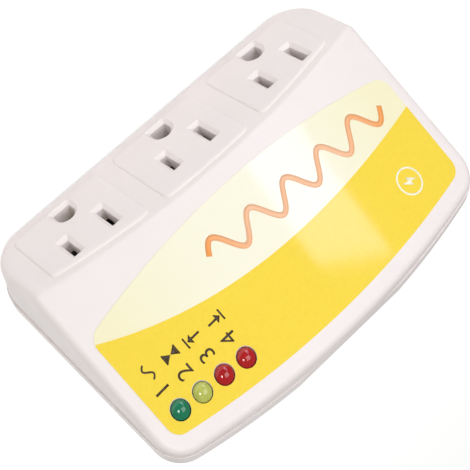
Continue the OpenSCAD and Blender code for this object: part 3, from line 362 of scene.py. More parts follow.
def rounded_loop(corners, radii, steps=6):
    """Closed loop through convex corners in order, each rounded by its radius."""
    corners = np.array(corners, float)
    out = []
    for i, (p, r) in enumerate(zip(corners, radii)):
        a, b = corners[i - 1] - p, corners[(i + 1) % len(corners)] - p
        a, b = a/np.linalg.norm(a), b/np.linalg.norm(b)
        half = math.acos(np.clip(a @ b, -1, 1))/2
        middle = (a + b)/np.linalg.norm(a + b)
        centre = p + middle*r/math.sin(half)
        first, last = p + a*r/math.tan(half) - centre, p + b*r/math.tan(half) - centre
        for t in np.linspace(0, 1, steps):
            d = turn_between(first[None]/max(r, 1e-9), last[None]/max(r, 1e-9), np.array([[t]]))[0]
            out.append(centre + r*d)
    return np.array(out)


def loop_normals(loop):
    """Outward unit normals of a closed loop of points in a plane."""
    d = np.roll(loop, -1, 0) - np.roll(loop, 1, 0)
    n = np.stack([d[:, 1], -d[:, 0]], 1)
    n /= np.linalg.norm(n, axis=1, keepdims=True)
    inward = (n*(loop - loop.mean(0))).sum() < 0
    return -n if inward else n


def with_height(loop, h):
    """A flat loop set at a height."""
    return np.concatenate([loop, np.full((len(loop), 1), h)], 1)


def slot_loop(width, length, grow):
    """Rounded rectangle of a blade slot, grown outwards."""
    w, l = width/2 + grow, length/2 + grow
    r = SLOT_CORNER + 0.15*max(grow, 0.0)
    return rounded_loop([(-w, -l), (w, -l), (w, l), (-w, l)], [r]*4)


def ground_loop(grow):
    """Ground hole grown outwards: a half circle towards the blades, straight sides and a flat with small corners."""
    r = GROUND_R + grow
    a = np.radians(np.linspace(0, 180, 25))
    top = np.stack([r*np.cos(a), r*np.sin(a)], 1)
    low = -(GROUND_FLAT + grow)
    small = GROUND_CORNER + grow*0.5
    left, _ = arc((-r + small, low + small), small, 180, 270, 6)
    right, _ = arc((r - small, low + small), small, 270, 360, 6)
    return np.concatenate([top, left, right])


def outlet_cutter(place, make_loop):
    """Cutter of one opening: nearly straight through the wall, widening in a flat bevel at its mouth.

    Each level is a height over the pad's top and how far the opening is grown there. The mouth's ring stands just
    over the top, so that no ring of the cutter lies in the plane that it cuts."""
    levels = [(-8.0, -0.2), (-SLOT_LEAD, 0.0), (-0.08, SLOT_LEAD - 0.04), (0.02, SLOT_LEAD + 0.085),
              (1.0, SLOT_LEAD + 2.0)]
    loops = []
    for h, grow in levels:
        loop = make_loop(grow) + np.array(place)
        loops.append(to_row(on_strip_frame(with_height(loop, h + PAD_H))))
    return loft(loops)


def sleeve(place, outer):
    """A sleeve round one opening, from inside the pad to its foot under the cover."""
    loop = outer + np.array(place)
    return loft([to_row(on_strip_frame(with_height(loop, h))) for h in (-SLEEVE_FOOT, -SLEEVE_TOP)])


def at_openings(name, build, live, neutral, ground):
    """One mesh of what build makes at the live slot, the neutral slot and the ground hole of each outlet."""
    shells = []
    for x in (-PITCH, 0.0, PITCH):
        shells.append(build((x + BLADE_SPACING/2, 0), live))
        shells.append(build((x - BLADE_SPACING/2, 0), neutral))
        shells.append(build((x, -GROUND_OFFSET), ground))
    return new_object(name, *join_shells(shells))


def outlet_sleeves():
    """Sleeves that carry the walls of the openings on, down into the pockets of the contacts."""
    width = SLOT_W + SLEEVE_WIDER
    return at_openings("outlet_sleeves", sleeve, slot_loop(width, LIVE_L, SLEEVE_WALL),
                       slot_loop(width, NEUTRAL_L, SLEEVE_WALL), ground_loop(SLEEVE_ROUND_WALL))


def outlet_cutters(extra):
    """One closed mesh that holds the cutters of all the outlets' openings, grown by extra."""
    return at_openings("cutter", outlet_cutter, lambda g: slot_loop(SLOT_W, LIVE_L, g + extra),
                       lambda g: slot_loop(SLOT_W, NEUTRAL_L, g + extra), lambda g: ground_loop(g + extra))


def light_place(i):
    """Place of a status light on the panel, from the left one (0) to the right one (3)."""
    step = (i - 1.5)*LIGHT_PITCH
    return LIGHT_ROW_X + step*math.cos(LIGHT_ROW_TILT), LIGHT_ROW_Y - step*math.sin(LIGHT_ROW_TILT)


def circle_loop(centre, radius, height, count=48):
    """A level circle."""
    a = np.linspace(0, 2*math.pi, count, endpoint=False)
    return np.stack([centre[0] + radius*np.cos(a), centre[1] + radius*np.sin(a), np.full(count, height)], 1)


def on_panel(points):
    """Points whose heights count from the panel, set on it."""
    p = np.array(points, float)
    p[:, 2] += panel_h(p[:, 0], p[:, 1])
    return p


def light_cutters(radius, edge):
    """Closed mesh of the four light holes, each with a slightly rounded mouth; levels as in outlet_cutter."""
    shells = []
    for i in range(4):
        x, y = light_place(i)
        loops = []
        for dz, grow in ((-6.0, 0.0), (-edge, 0.0), (-0.35*edge, 0.3*edge), (0.0, edge), (1.5, 0.3 + edge)):
            loops.append(to_row(on_panel(circle_loop((x, y), radius + grow, dz))))
        shells.append(loft(loops))
    return new_object("cutter", *join_shells(shells))


# ---------------------------------------------------------------- materials

# Noise mostly lies in this range; the depth of a surface's fine grain, in metres
NOISE_SPAN, GRAIN_DEPTH = (0.3, 0.7), 0.04*MM


def set_inputs(node, **values):
    """Sets a shader node's inputs by name, where _ stands for a blank."""
    for key, value in values.items():
        node.inputs[key.replace("_", " ")].default_value = value


def material(name, colour, roughness=0.4, metallic=0.0, **sockets):
    """A principled material; returns the material, its node tree and its shader."""
    m = bpy.data.materials.new(name)
    m.use_nodes = True
    tree = m.node_tree
    shader = next(n for n in tree.nodes if n.type == "BSDF_PRINCIPLED")
    set_inputs(shader, Base_Color=(*colour, 1), Roughness=roughness, Metallic=metallic, **sockets)
    m.diffuse_color = (*colour, 1)
    return m, tree, shader


def srgb(*levels):
    """Linear colour from the 0 to 255 levels that a screen shows."""
    out = []
    for v in levels:
        v /= 255
        out.append(v/12.92 if v <= 0.04045 else ((v + 0.055)/1.055)**2.4)
    return tuple(out)


def object_place(tree):
    """The place in object coordinates, as a shader output."""
    return tree.nodes.new("ShaderNodeTexCoord").outputs["Object"]


def noise(tree, vector, scale, detail, rough=0.5):
    """Noise on a vector, as a shader output."""
    node = tree.nodes.new("ShaderNodeTexNoise")
    set_inputs(node, Scale=scale, Detail=detail, Roughness=rough)
    tree.links.new(vector, node.inputs["Vector"])
    return node.outputs["Fac"]


def two_tones(tree, factor, low, high, start=0.0, end=1.0):
    """A ramp node whose colour goes from low to high while the factor goes from start to end."""
    node = tree.nodes.new("ShaderNodeValToRGB")
    first, last = node.color_ramp.elements
    first.position, last.position = start, end
    first.color, last.color = (*low, 1), (*high, 1)
    tree.links.new(factor, node.inputs["Fac"])
    return node


def in_range(tree, value, start, end, low=0.0, high=1.0):
    """A value that goes from low to high while another goes from start to end, as a shader output."""
    node = tree.nodes.new("ShaderNodeMapRange")
    set_inputs(node, From_Min=start, From_Max=end, To_Min=low, To_Max=high)
    tree.links.new(value, node.inputs["Value"])
    return node.outputs["Result"]


def add_bump(tree, shader, height, strength, distance):
    """A bump of that strength and height in metres on the shader's normal."""
    node = tree.nodes.new("ShaderNodeBump")
    set_inputs(node, Strength=strength, Distance=distance)
    tree.links.new(height, node.inputs["Height"])
    tree.links.new(node.outputs["Normal"], shader.inputs["Normal"])


def add_surface_detail(tree, shader, colour, spread, roughness, rough_spread, bump, scales, stretch):
    """Colour and roughness that vary a little, and a fine bump, all from noise on object coordinates.

    colour goes down and up by spread over broad patches; roughness by rough_spread; the bump has two scales."""
    links = tree.links
    mapping = tree.nodes.new("ShaderNodeMapping")
    set_inputs(mapping, Scale=stretch)
    links.new(object_place(tree), mapping.inputs["Vector"])
    vector = mapping.outputs["Vector"]
    tones = two_tones(tree, noise(tree, vector, scales[0], 3), [c*(1 - spread) for c in colour],
                      [min(1, c*(1 + spread)) for c in colour], *NOISE_SPAN)
    links.new(tones.outputs["Color"], shader.inputs["Base Color"])
    gloss = in_range(tree, noise(tree, vector, 3*scales[0], 4), *NOISE_SPAN,
                     roughness - rough_spread, roughness + rough_spread)
    links.new(gloss, shader.inputs["Roughness"])
    add_bump(tree, shader, noise(tree, vector, scales[1], 5, 0.6), bump, GRAIN_DEPTH)


def finish(name, colour, roughness=0.4, metallic=0.0, spread=0.03, rough_spread=0.05, bump=0.2,
           scales=(120, 3000), stretch=(1, 1, 1), **sockets):
    """A finish with the surface detail above."""
    m, tree, shader = material(name, colour, roughness, metallic, **sockets)
    add_surface_detail(tree, shader, colour, spread, roughness, rough_spread, bump, scales, stretch)
    return m


def wear(piece, m):
    """Gives a piece or a carried-over node one material in its slots."""
    piece.data.materials.clear()
    piece.data.materials.append(m)


SHELL = finish("moulded_white", srgb(240, 232, 229), 0.42, spread=0.012, rough_spread=0.05, bump=0.35,
               scales=(60, 2600))
PLASTICS = {
    "contact_tray": finish("tray_grey", srgb(120, 122, 126), 0.5),
    "plug_clamp": finish("clamp_grey", srgb(110, 112, 116), 0.5),
    "circuit_board": finish("board_lacquer", srgb(36, 104, 58), 0.25, spread=0.12, scales=(300, 5000)),
    "relay_base": finish("relay_black", srgb(34, 34, 36), 0.4),
    "relay_case": finish("relay_black_case", srgb(38, 38, 42), 0.3),
    "relay_bobbin": finish("bobbin_cream", srgb(222, 214, 192), 0.45),
    "varistors": finish("varistor_blue", srgb(48, 88, 168), 0.3, spread=0.06),
    "film_capacitor": finish("film_yellow", srgb(236, 196, 60), 0.3, spread=0.04),
    "filter_capacitor": finish("sleeve_dark", srgb(48, 52, 66), 0.35),
    "diodes": finish("diode_black", srgb(30, 30, 32), 0.35),
    "power_resistor": finish("ceramic_grey", srgb(196, 198, 186), 0.6, spread=0.05),
    "signal_resistors": finish("resistor_tan", srgb(214, 184, 140), 0.4, spread=0.06),
    "ceramic_capacitors": finish("disc_orange", srgb(214, 138, 62), 0.4, spread=0.06),
    "controller_chip": finish("chip_black", srgb(32, 32, 34), 0.5),
    "relay_transistor": finish("transistor_black", srgb(32, 32, 34), 0.45),
    "trimmer": finish("trimmer_blue", srgb(52, 102, 176), 0.4),
    "line_feed_wire": finish("insulation_black", srgb(28, 28, 30), 0.4),
    "neutral_feed_wire": finish("insulation_white", srgb(228, 228, 222), 0.4),
    "line_outlet_wire": finish("insulation_black_2", srgb(28, 28, 30), 0.4),
    "neutral_outlet_wire": finish("insulation_white_2", srgb(228, 228, 222), 0.4),
    "ground_wire": finish("insulation_green", srgb(40, 128, 62), 0.4),
}
BRASS = finish("stamped_brass", srgb(214, 184, 112), 0.28, 1.0, spread=0.06, bump=0.3, scales=(200, 1800),
               stretch=(1, 1, 4))
PLATED = finish("plated_blade", srgb(214, 204, 178), 0.22, 1.0, spread=0.03, bump=0.25, scales=(260, 1600),
                stretch=(1, 0.2, 1))
ZINC = finish("zinc_plate", srgb(196, 198, 202), 0.3, 1.0, spread=0.05, bump=0.3, scales=(300, 2500))
IRON = finish("soft_iron", srgb(160, 162, 166), 0.38, 1.0, spread=0.05, bump=0.3, scales=(300, 2500))
COPPER = finish("enamelled_copper", srgb(196, 112, 64), 0.32, 1.0, spread=0.08, bump=0.5, scales=(300, 4000),
                stretch=(6, 1, 1))
SPRING = finish("spring_bronze", srgb(206, 152, 92), 0.28, 1.0, spread=0.05)
GLASS = finish("fuse_glass", srgb(236, 244, 246), 0.06, spread=0.01, rough_spread=0.02, bump=0.05, scales=(200, 1500),
               Alpha=0.35, IOR=1.5)
# Finishes that several nodes share, and those of the glass tube and the rear cover
SHARED = {"line_bus": BRASS, "neutral_bus": BRASS, "ground_bus": BRASS, "relay_fixed_contacts": BRASS,
          "fuse_clips": BRASS, "line_blade": PLATED, "neutral_blade": PLATED, "ground_pin": PLATED,
          "light_leads": ZINC, "board_screws": ZINC, "case_screws": ZINC, "tray_screws": ZINC, "clamp_screws": ZINC,
          "fuse_caps": ZINC, "relay_core": IRON, "relay_yoke": IRON, "relay_armature": IRON, "relay_coil": COPPER,
          "relay_contact_spring": SPRING, "fuse_tube": GLASS, "rear_cover": SHELL}
for node, m in {**PLASTICS, **SHARED}.items():
    wear(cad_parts[node], m)


# ---------------------------------------------------------------- covers

def front_cover():
    """The smooth shell of the front cover, standing for the part's faceted one.

    Its outlet openings are a little larger than those of the pads, which fill them."""
    verts, faces = front_shell()
    piece = new_object("front_cover_shell", to_row(verts), faces)
    combine(piece, outlet_cutters(OPENING_CLEARANCE), "DIFFERENCE")
    combine(piece, light_cutters(LIGHT_R + LIGHT_GAP, LIGHT_MOUTH), "DIFFERENCE")
    crisp(piece)
    wear(piece, SHELL)
    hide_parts("front_cover")
    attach(piece, "housing")


def pad_outline(x):
    """Outline of one raised pad: straight sides and lower edge, and an upper edge on an arc below the ridge.

    Over the chord from a to b, the arc rises by (u - a)(b - u)/(2 radius)."""
    low, high = x - PAD_W/2, x + PAD_W/2
    low_top, high_top = (BLADE_ROW_DROP - PAD_MARGIN - PAD_TOP_R + math.sqrt(PAD_TOP_R**2 - u*u) for u in (low, high))
    steps = 7
    loop = rounded_loop([(low, -PAD_LOW), (high, -PAD_LOW), (high, high_top), (low, low_top)], [PAD_CORNER]*4, steps)
    b, a = loop[3*steps - 1], loop[3*steps]
    edge = b + (a - b)*np.linspace(0, 1, 22)[1:-1, None]
    edge[:, 1] += (edge[:, 0] - a[0])*(b[0] - edge[:, 0])/(2*PAD_TOP_R)
    return np.concatenate([loop[:3*steps], edge, loop[3*steps:]])


def outlet_pads():
    """The three raised pads round the outlets: each rim rises in a quarter of an ellipse to the flat top."""
    shells = []
    for x in (-PITCH, 0.0, PITCH):
        loop = pad_outline(x + PAD_SHIFT)
        n = loop_normals(loop)
        loops = [with_height(loop, -PAD_ROOT)]
        for t in np.radians(np.linspace(0, 90, 8)):
            loops.append(with_height(loop - PAD_RIM*(1 - math.cos(t))*n, PAD_H*math.sin(t)))
        loops.append(with_height(loop - (PAD_RIM + PAD_RING)*n, PAD_H))
        shells.append(loft([to_row(on_strip_frame(q)) for q in loops]))
    piece = new_object("outlet_pads", *join_shells(shells))
    combine(piece, outlet_sleeves(), "UNION")
    combine(piece, outlet_cutters(0.0), "DIFFERENCE")
    crisp(piece, PAD_CREASE)
    wear(piece, SHELL)
    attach(piece, "housing")


def boss(x, y, low, high, outer, hole, hole_top, frame_of):
    """A screw boss: a round post of radius outer from low to the height high(x, y), with a blind pilot hole."""
    rings = [circle_loop((x, y), r, h) for r, h in
             ((hole, hole_top), (hole, low), (outer - BOSS_CHAMFER, low), (outer, low + BOSS_CHAMFER), (outer, low))]
    rings[-1][:, 2] = high(rings[-1][:, 0], rings[-1][:, 1])
    return loft([to_row(frame_of(q)) for q in rings])


def inner_bosses():
    """Screw bosses under the front cover: four for the case screws, two for the contact tray.

    Each ends inside the cover's wall, so the top of a case screw's boss follows the lower of the two faces."""
    def under_faces(x, y):
        return np.minimum(strip_h(y), panel_h(x, y)) - WALL/2

    shells = [boss(x, y, BOSS_MEET, under_faces, CASE_BOSS_R, CASE_PILOT_R, CASE_PILOT_TOP, lambda q: q)
              for x, y in CASE_PLACES]
    shells += [boss(x, 0.0, -WALL - TRAY_BOSS_H, lambda x, y: 0*x - WALL/2, TRAY_BOSS_R, TRAY_PILOT_R,
                    -WALL/2 - PILOT_ROOF, on_strip_frame) for x in (-PITCH/2, PITCH/2)]
    piece = new_object("front_cover_bosses", *join_shells(shells))
    crisp(piece)
    wear(piece, SHELL)
    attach(piece, "housing")


def label_edges(x):
    """Lower and upper edge of the label at x: two long arcs that end in corner arcs."""
    r, cx = LABEL_CORNER, LABEL_HALF_W - LABEL_CORNER
    low_c, high_c, high_r = LABEL_LOW + LABEL_LOW_R, TOP_CENTRE[1], TOP_R - LABEL_MARGIN
    low_corner = low_c - math.sqrt((LABEL_LOW_R - r)**2 - cx*cx)
    high_corner = high_c + math.sqrt((high_r - r)**2 - cx*cx)
    low_touch = cx*LABEL_LOW_R/(LABEL_LOW_R - r)
    high_touch = cx*high_r/(high_r - r)
    a = np.abs(x)
    bend = np.sqrt(np.maximum(r*r - (a - cx)**2, 0))
    low = np.where(a < low_touch, low_c - np.sqrt(LABEL_LOW_R**2 - a*a), low_corner - bend)
    high = np.where(a < high_touch, high_c + np.sqrt(high_r**2 - a*a), high_corner + bend)
    return low, high


def label_material():
    """Printed film: deep yellow over a curved boundary, pale yellow under it, glossy."""
    m, tree, shader = material("printed_film", srgb(246, 215, 64), 0.085)
    nodes, links = tree.nodes, tree.links
    place = object_place(tree)
    split = nodes.new("ShaderNodeSeparateXYZ")
    links.new(place, split.inputs[0])

    def sums(operation, *values):
        node = nodes.new("ShaderNodeMath")
        node.operation = operation
        for socket, value in zip(node.inputs, values):
            if isinstance(value, float):
                socket.default_value = value
            else:
                links.new(value, socket)
        return node.outputs[0]

    # Boundary between the tones: a quartic in x, in centimetres, by Horner's rule; height over it in millimetres
    across = sums("MULTIPLY", split.outputs["X"], 100.0)
    edge = sums("MULTIPLY_ADD", across, -0.0006, -0.0131)
    for factor in (-0.3241, -0.3436, 25.0121):
        edge = sums("MULTIPLY_ADD", edge, across, factor)
    height = sums("SUBTRACT", sums("MULTIPLY_ADD", split.outputs["Z"], 1000.0, PLUG_Y), edge)
    # Pale part fades a little towards its middle
    pale = nodes.new("ShaderNodeMix")
    pale.data_type = "RGBA"
    set_inputs(pale, A=(*srgb(246, 240, 202), 1), B=(*srgb(248, 245, 222), 1))
    links.new(in_range(tree, sums("MULTIPLY", across, across), 22.0, 2.0), pale.inputs["Factor"])
    # Printing unevenness of the deep part
    deep = two_tones(tree, noise(tree, place, 900.0, 4.0), srgb(246, 215, 66), srgb(249, 219, 72), *NOISE_SPAN)
    both = nodes.new("ShaderNodeMix")
    both.data_type = "RGBA"
    links.new(in_range(tree, height, -0.09, 0.09), both.inputs["Factor"])
    links.new(pale.outputs["Result"], both.inputs["A"])
    links.new(deep.outputs["Color"], both.inputs["B"])
    links.new(both.outputs["Result"], shader.inputs["Base Color"])
    # The film lies slightly uneven
    add_bump(tree, shader, noise(tree, place, 70.0, 2.0), 0.25, 0.05*MM)
    return m


def label_film():
    """The label's film on the arched panel: a grid between its lower and upper edge, as thick as the film."""
    # Columns stand closer together towards both ends, where the edges bend
    bend_w = 1.3*LABEL_CORNER
    bend = LABEL_HALF_W - bend_w + bend_w*np.sin(np.linspace(0, math.pi/2, 22))
    x = np.concatenate([-bend[::-1], np.linspace(-bend[0], bend[0], 122)[1:-1], bend])
    low, high = label_edges(x)
    t = np.linspace(0, 1, 34)[:, None]
    y = low + (high - low)*t
    rows, columns = y.shape
    xx = np.repeat(x[None], rows, 0)
    top = np.stack([xx, y, panel_h(xx, y, -LABEL_T)], -1)
    bottom = np.stack([xx, y, panel_h(xx, y) + FILM_GAP], -1)
    verts = np.concatenate([top.reshape(-1, 3), bottom.reshape(-1, 3)])
    size = rows*columns
    skin = grid_faces(rows, columns, False)
    border = np.concatenate([np.arange(columns), np.arange(1, rows)*columns + columns - 1,
                             (rows - 1)*columns + np.arange(columns - 1)[::-1], np.arange(1, rows - 1)[::-1]*columns])
    following = np.roll(border, -1)
    side = np.stack([border, following, following + size, border + size], 1)
    faces = np.concatenate([skin, skin[:, ::-1] + size, side])
    piece = new_object("label_film", to_row(verts), faces)
    combine(piece, light_cutters(LIGHT_R + LIGHT_GAP + FILM_HOLE_GAP, TINY), "DIFFERENCE")
    crisp(piece)
    wear(piece, label_material())
    piece.data.materials.append(finish("film_edge", srgb(250, 247, 238), 0.5, bump=0.1))
    # A face belongs to the cut edge where its corners lie at both heights of the film
    flat = np.zeros(len(piece.data.vertices)*3)
    piece.data.vertices.foreach_get("co", flat)
    at = flat.reshape(-1, 3)/MM
    height = -at[:, 1] - panel_h(at[:, 0], at[:, 2] + PLUG_Y)
    corners = np.zeros(len(piece.data.loops), np.int32)
    piece.data.loops.foreach_get("vertex_index", corners)
    first = np.zeros(len(piece.data.polygons), np.int32)
    piece.data.polygons.foreach_get("loop_start", first)
    spread = np.maximum.reduceat(height[corners], first) - np.minimum.reduceat(height[corners], first)
    piece.data.polygons.foreach_set("material_index", (spread > LABEL_T/2).astype(np.int32))
    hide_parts("label")
    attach(piece, "housing")


def flat_mark(name, xy, faces, m):
    """A printed mark: flat outlines in the plan, laid on the label as closed sheets that stand out by MARK_LIFT."""
    xy = np.asarray(xy, float)
    count = len(xy)
    solid, edges = [], set()
    for face in faces:
        face = [int(i) for i in face]
        ring = xy[face]
        if (ring[:, 0]*np.roll(ring[:, 1], -1) - ring[:, 1]*np.roll(ring[:, 0], -1)).sum() < 0:
            face.reverse()
        solid += [tuple(face), tuple(i + count for i in reversed(face))]
        edges.update(zip(face, face[1:] + face[:1]))
    solid += [(b, a, a + count, b + count) for a, b in sorted(edges) if (b, a) not in edges]
    x, y = xy.T
    at = [np.stack([x, y, panel_h(x, y, -LABEL_T - h)], -1) for h in (MARK_LIFT, MARK_GAP)]
    piece = new_object(name, to_row(np.concatenate(at)), solid)
    wear(piece, m)
    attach(piece, "housing")


def ribbon(points, width):
    """A flat band of that width along a path in the plan, with square ends."""
    p = np.asarray(points, float)
    d = np.gradient(p, axis=0)
    n = np.stack([-d[:, 1], d[:, 0]], 1)/np.linalg.norm(d, axis=1)[:, None]
    verts = np.concatenate([p + n*width/2, p - n*width/2])
    i = np.arange(len(p) - 1)
    return verts, np.stack([i, i + 1, i + 1 + len(p), i + len(p)], 1)


def ink(name, colour):
    """Printing ink: its colour wanders slightly, and it is a little less glossy than the film."""
    return finish(name, colour, 0.3, spread=0.05, bump=0.08, scales=(800, 4000))


def wave_band():
    """An orange ribbon over the pale part: a sine wave of five turns that follows the lower edge's curve.

    Its colour runs from orange at both ends to peach in the middle."""
    left, right, turns, height, width = -47.5, 17.5, 5, 3.3, 1.5
    x = np.linspace(left, right, 331)
    turn = (x - left)/(right - left)*turns*2*math.pi
    middle = 16.4 - 0.0016*(x + 12)**2
    verts, faces = ribbon(np.stack([x, middle + height*np.sin(turn)], 1), width)
    m, tree, shader = material("orange_ink", srgb(248, 176, 112), 0.28)
    split = tree.nodes.new("ShaderNodeSeparateXYZ")
    tree.links.new(object_place(tree), split.inputs[0])
    orange, peach = srgb(246, 158, 76), srgb(247, 190, 148)
    ramp = two_tones(tree, in_range(tree, split.outputs["X"], left*MM, right*MM), orange, orange)
    for position in (0.28, 0.8):
        ramp.color_ramp.elements.new(position).color = (*peach, 1)
    tree.links.new(ramp.outputs["Color"], shader.inputs["Base Color"])
    flat_mark("wave_band", verts, faces, m)


def numeral(text, size):
    """Outline of a numeral as flat triangles, centred on zero, in millimetres."""
    curve = bpy.data.curves.new("numeral", "FONT")
    curve.body = text
    curve.size = size
    curve.align_x, curve.align_y = "CENTER", "CENTER"
    holder = bpy.data.objects.new("numeral", curve)
    bpy.context.collection.objects.link(holder)
    bpy.context.view_layer.update()
    mesh = bpy.data.meshes.new_from_object(holder.evaluated_get(bpy.context.evaluated_depsgraph_get()))
    flat = np.zeros(len(mesh.vertices)*3)
    mesh.vertices.foreach_get("co", flat)
    faces = [tuple(polygon.vertices) for polygon in mesh.polygons]
    bpy.data.objects.remove(holder)
    bpy.data.curves.remove(curve)
    bpy.data.meshes.remove(mesh)
    return flat.reshape(-1, 3)[:, :2], faces


def turned(verts, degrees, x, y):
    """Flat points turned about zero and moved to a place."""
    a = math.radians(degrees)
    turn = np.array([[math.cos(a), math.sin(a)], [-math.sin(a), math.cos(a)]])
    return np.asarray(verts) @ turn + np.array([x, y])


def light_symbols():
    """What each status light means, as plain symbols before its numeral.

    From the left light: an arrow down to a line, an arrow up to a line, an hourglass, a wave."""
    x = np.linspace(-1.6, 1.6, 40)
    wave = ribbon(np.stack([x, 0.75*np.sin(x/1.6*math.pi)], 1), STROKE)
    bars = [ribbon(np.array([(-1, y), (1, y)]), STROKE) for y in (1.5, -1.5)]
    bulbs = [(np.array([(-0.85, y), (0.85, y), (0.0, 0.0)]), [(0, 1, 2)]) for y in (1.3, -1.3)]
    glass = join_shells(bars + bulbs)
    stem = ribbon(np.array([(0, -1.6), (0, 0.4)]), 0.4)
    head = (np.array([(-0.95, 0.3), (0.95, 0.3), (0.0, 1.35)]), [(0, 1, 2)])
    line = ribbon(np.array([(-1.1, 1.7), (1.1, 1.7)]), STROKE)
    up = join_shells([stem, head, line])
    down = (up[0]*np.array([1, -1]), up[1])
    numeral_size, numeral_drop, symbol_drop, symbol_scale = 6.2, 6.2, 11.6, 1.35
    shells = []
    for i, (verts, faces) in enumerate((down, up, glass, wave)):
        lx, ly = light_place(i)
        digit, digit_faces = numeral(str(4 - i), numeral_size)
        shells.append((turned(digit, -90, lx, ly - numeral_drop), digit_faces))
        shells.append((turned(verts*symbol_scale, -90, lx, ly - symbol_drop), faces))
    flat_mark("light_numerals", *join_shells(shells), ink("brown_ink", srgb(60, 40, 10)))


def bolt_symbol():
    """A small white bolt in a ring at the label's far end."""
    upper = np.array([(0.5, 2.0), (-1.1, -0.3), (-0.1, -0.3), (0.1, 0.3)])
    ring = ribbon(arc((0, 0), 2.8, 0, 360, 49)[0], 0.4)
    verts, faces = join_shells([ring, (upper, [(0, 1, 2, 3)]), (-upper, [(0, 1, 2, 3)])])
    flat_mark("bolt_symbol", turned(verts*1.3, -90, -39.8, 34.0), faces, ink("white_ink", srgb(254, 248, 222)))


# Place in the row and colour of each lens; then radius and height of the rings of a lens's flange, from its foot up
LENS_COLOURS = {"status_light_red_upper": (0, srgb(172, 0, 4)), "status_light_red_lower": (1, srgb(172, 0, 4)),
                "status_light_yellow": (2, srgb(184, 190, 88)), "status_light_green": (3, srgb(0, 116, 78))}
LENS_FLANGE = ((TINY, 0.0), (2.65, 0.0), (2.9, 0.2), (2.9, 0.8), (2.75, 1.0), (LIGHT_R, 1.1))
LENS_SIDES = 56


def status_light(node):
    """A coloured lens: flange and straight body round the light's axis, and a dome whose rings follow the panel."""
    index, colour = LENS_COLOURS[node]
    x, y = light_place(index)
    # The node's lowest point over the back face, in millimetres
    foot = float(-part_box(node)[1][1]/MM)
    loops = [circle_loop((x, y), r, foot + h, LENS_SIDES) for r, h in LENS_FLANGE]
    for t in np.radians(np.linspace(0, 90, 18)):
        rise = (LIGHT_RISE + LENS_EQUATOR)*math.sin(t) - LENS_EQUATOR
        loops.append(on_panel(circle_loop((x, y), max(LIGHT_R*math.cos(t), TINY), rise, LENS_SIDES)))
    piece = new_object(node + "_lens", *loft([to_row(q) for q in loops]))
    m, tree, shader = material(node + "_resin", colour, 0.05, IOR=1.55)
    tones = two_tones(tree, noise(tree, object_place(tree), 500.0, 2.0), [c*0.8 for c in colour],
                      [min(1, c*1.15) for c in colour])
    tree.links.new(tones.outputs["Color"], shader.inputs["Base Color"])
    crisp(piece, 40)
    wear(piece, m)
    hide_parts(node)
    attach(piece, "housing")


def widen_low_corners(mesh):
    """Moves the wall's points at the two low corners from CORNER_R, as packed, to LOW_CORNER_R.

    A point that lies deep by d in the old corner, at angle t round its centre, goes to the new centre plus
    (new radius - d)(cos t, sin t)."""
    p = np.empty(len(mesh.vertices)*3)
    mesh.vertices.foreach_get("co", p)
    p = p.reshape(-1, 3)
    a = np.abs(p[:, 0])/MM - CORNER_X
    b = -BELOW_RIDGE + CORNER_R - (p[:, 2]/MM + PLUG_Y)
    depth = CORNER_R - np.hypot(a, b)
    wall = (a > -CORNER_SLACK) & (b > -CORNER_SLACK) & (depth < CORNER_DEPTH)
    t = np.arctan2(np.maximum(b, 0), np.maximum(a, 0))
    r = LOW_CORNER_R - depth
    p[wall, 0] = (np.sign(p[:, 0])*(LOW_X + r*np.cos(t)))[wall]*MM
    p[wall, 2] = (LOW_Y - r*np.sin(t) - PLUG_Y)[wall]*MM
    mesh.vertices.foreach_set("co", p.ravel())


def rear_cover():
    """The rear cover as packed, with rounder low corners and its edges slightly rounded."""
    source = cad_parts["rear_cover"]
    mesh = source.data.copy()
    widen_low_corners(mesh)
    piece = bpy.data.objects.new("rear_cover_shell", mesh)
    bpy.context.collection.objects.link(piece)
    bm = bmesh.new()
    bm.from_mesh(mesh)
    bmesh.ops.remove_doubles(bm, verts=bm.verts, dist=MERGE)
    bmesh.ops.dissolve_limit(bm, angle_limit=math.radians(1.0), verts=bm.verts, edges=bm.edges)
    bmesh.ops.recalc_face_normals(bm, faces=bm.faces)
    for face in bm.faces:
        face.smooth = True
    bm.to_mesh(mesh)
    bm.free()
    bevel = piece.modifiers.new("rounding", "BEVEL")
    bevel.width = BEVEL_W*MM
    bevel.segments = 3
    bevel.limit_method = "ANGLE"
    bevel.angle_limit = math.radians(40)
    smooth = piece.modifiers.new("normals", "WEIGHTED_NORMAL")
    smooth.keep_sharp = True
    wear(piece, SHELL)
    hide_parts("rear_cover")
    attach(piece, "housing")


front_cover()
outlet_pads()
inner_bosses()
label_film()
wave_band()
light_symbols()
bolt_symbol()
for lens in LENS_COLOURS:
    status_light(lens)
rear_cover()


# ---------------------------------------------------------------- camera, light and floor

SENSOR, FOCAL_PIXELS, PICTURE_PIXELS = 36.0, 1250, 470
LAMP_DISTANCE, LAMP_TARGET = 0.9, Vector((0, -0.02, 0.01))


def camera():
    """The camera of the photograph, from the fit on the outlets: place, and the picture's right and down."""
    place = Vector((96.0, -323.8, 103.1))*MM
    right = Vector((-0.7140, 0.0155, 0.6999))
    down = Vector((0.6463, 0.3991, 0.6505))
    back = -right.cross(down)
    data = bpy.data.cameras.new("camera")
    data.sensor_width = SENSOR
    data.lens = SENSOR*FOCAL_PIXELS/PICTURE_PIXELS
    data.clip_start, data.clip_end = 0.01, 20
    view = bpy.data.objects.new("camera", data)
    view.matrix_world = Matrix.Translation(place) @ Matrix((right, -down, back)).transposed().to_4x4()
    bpy.context.collection.objects.link(view)
    bpy.context.scene.camera = view


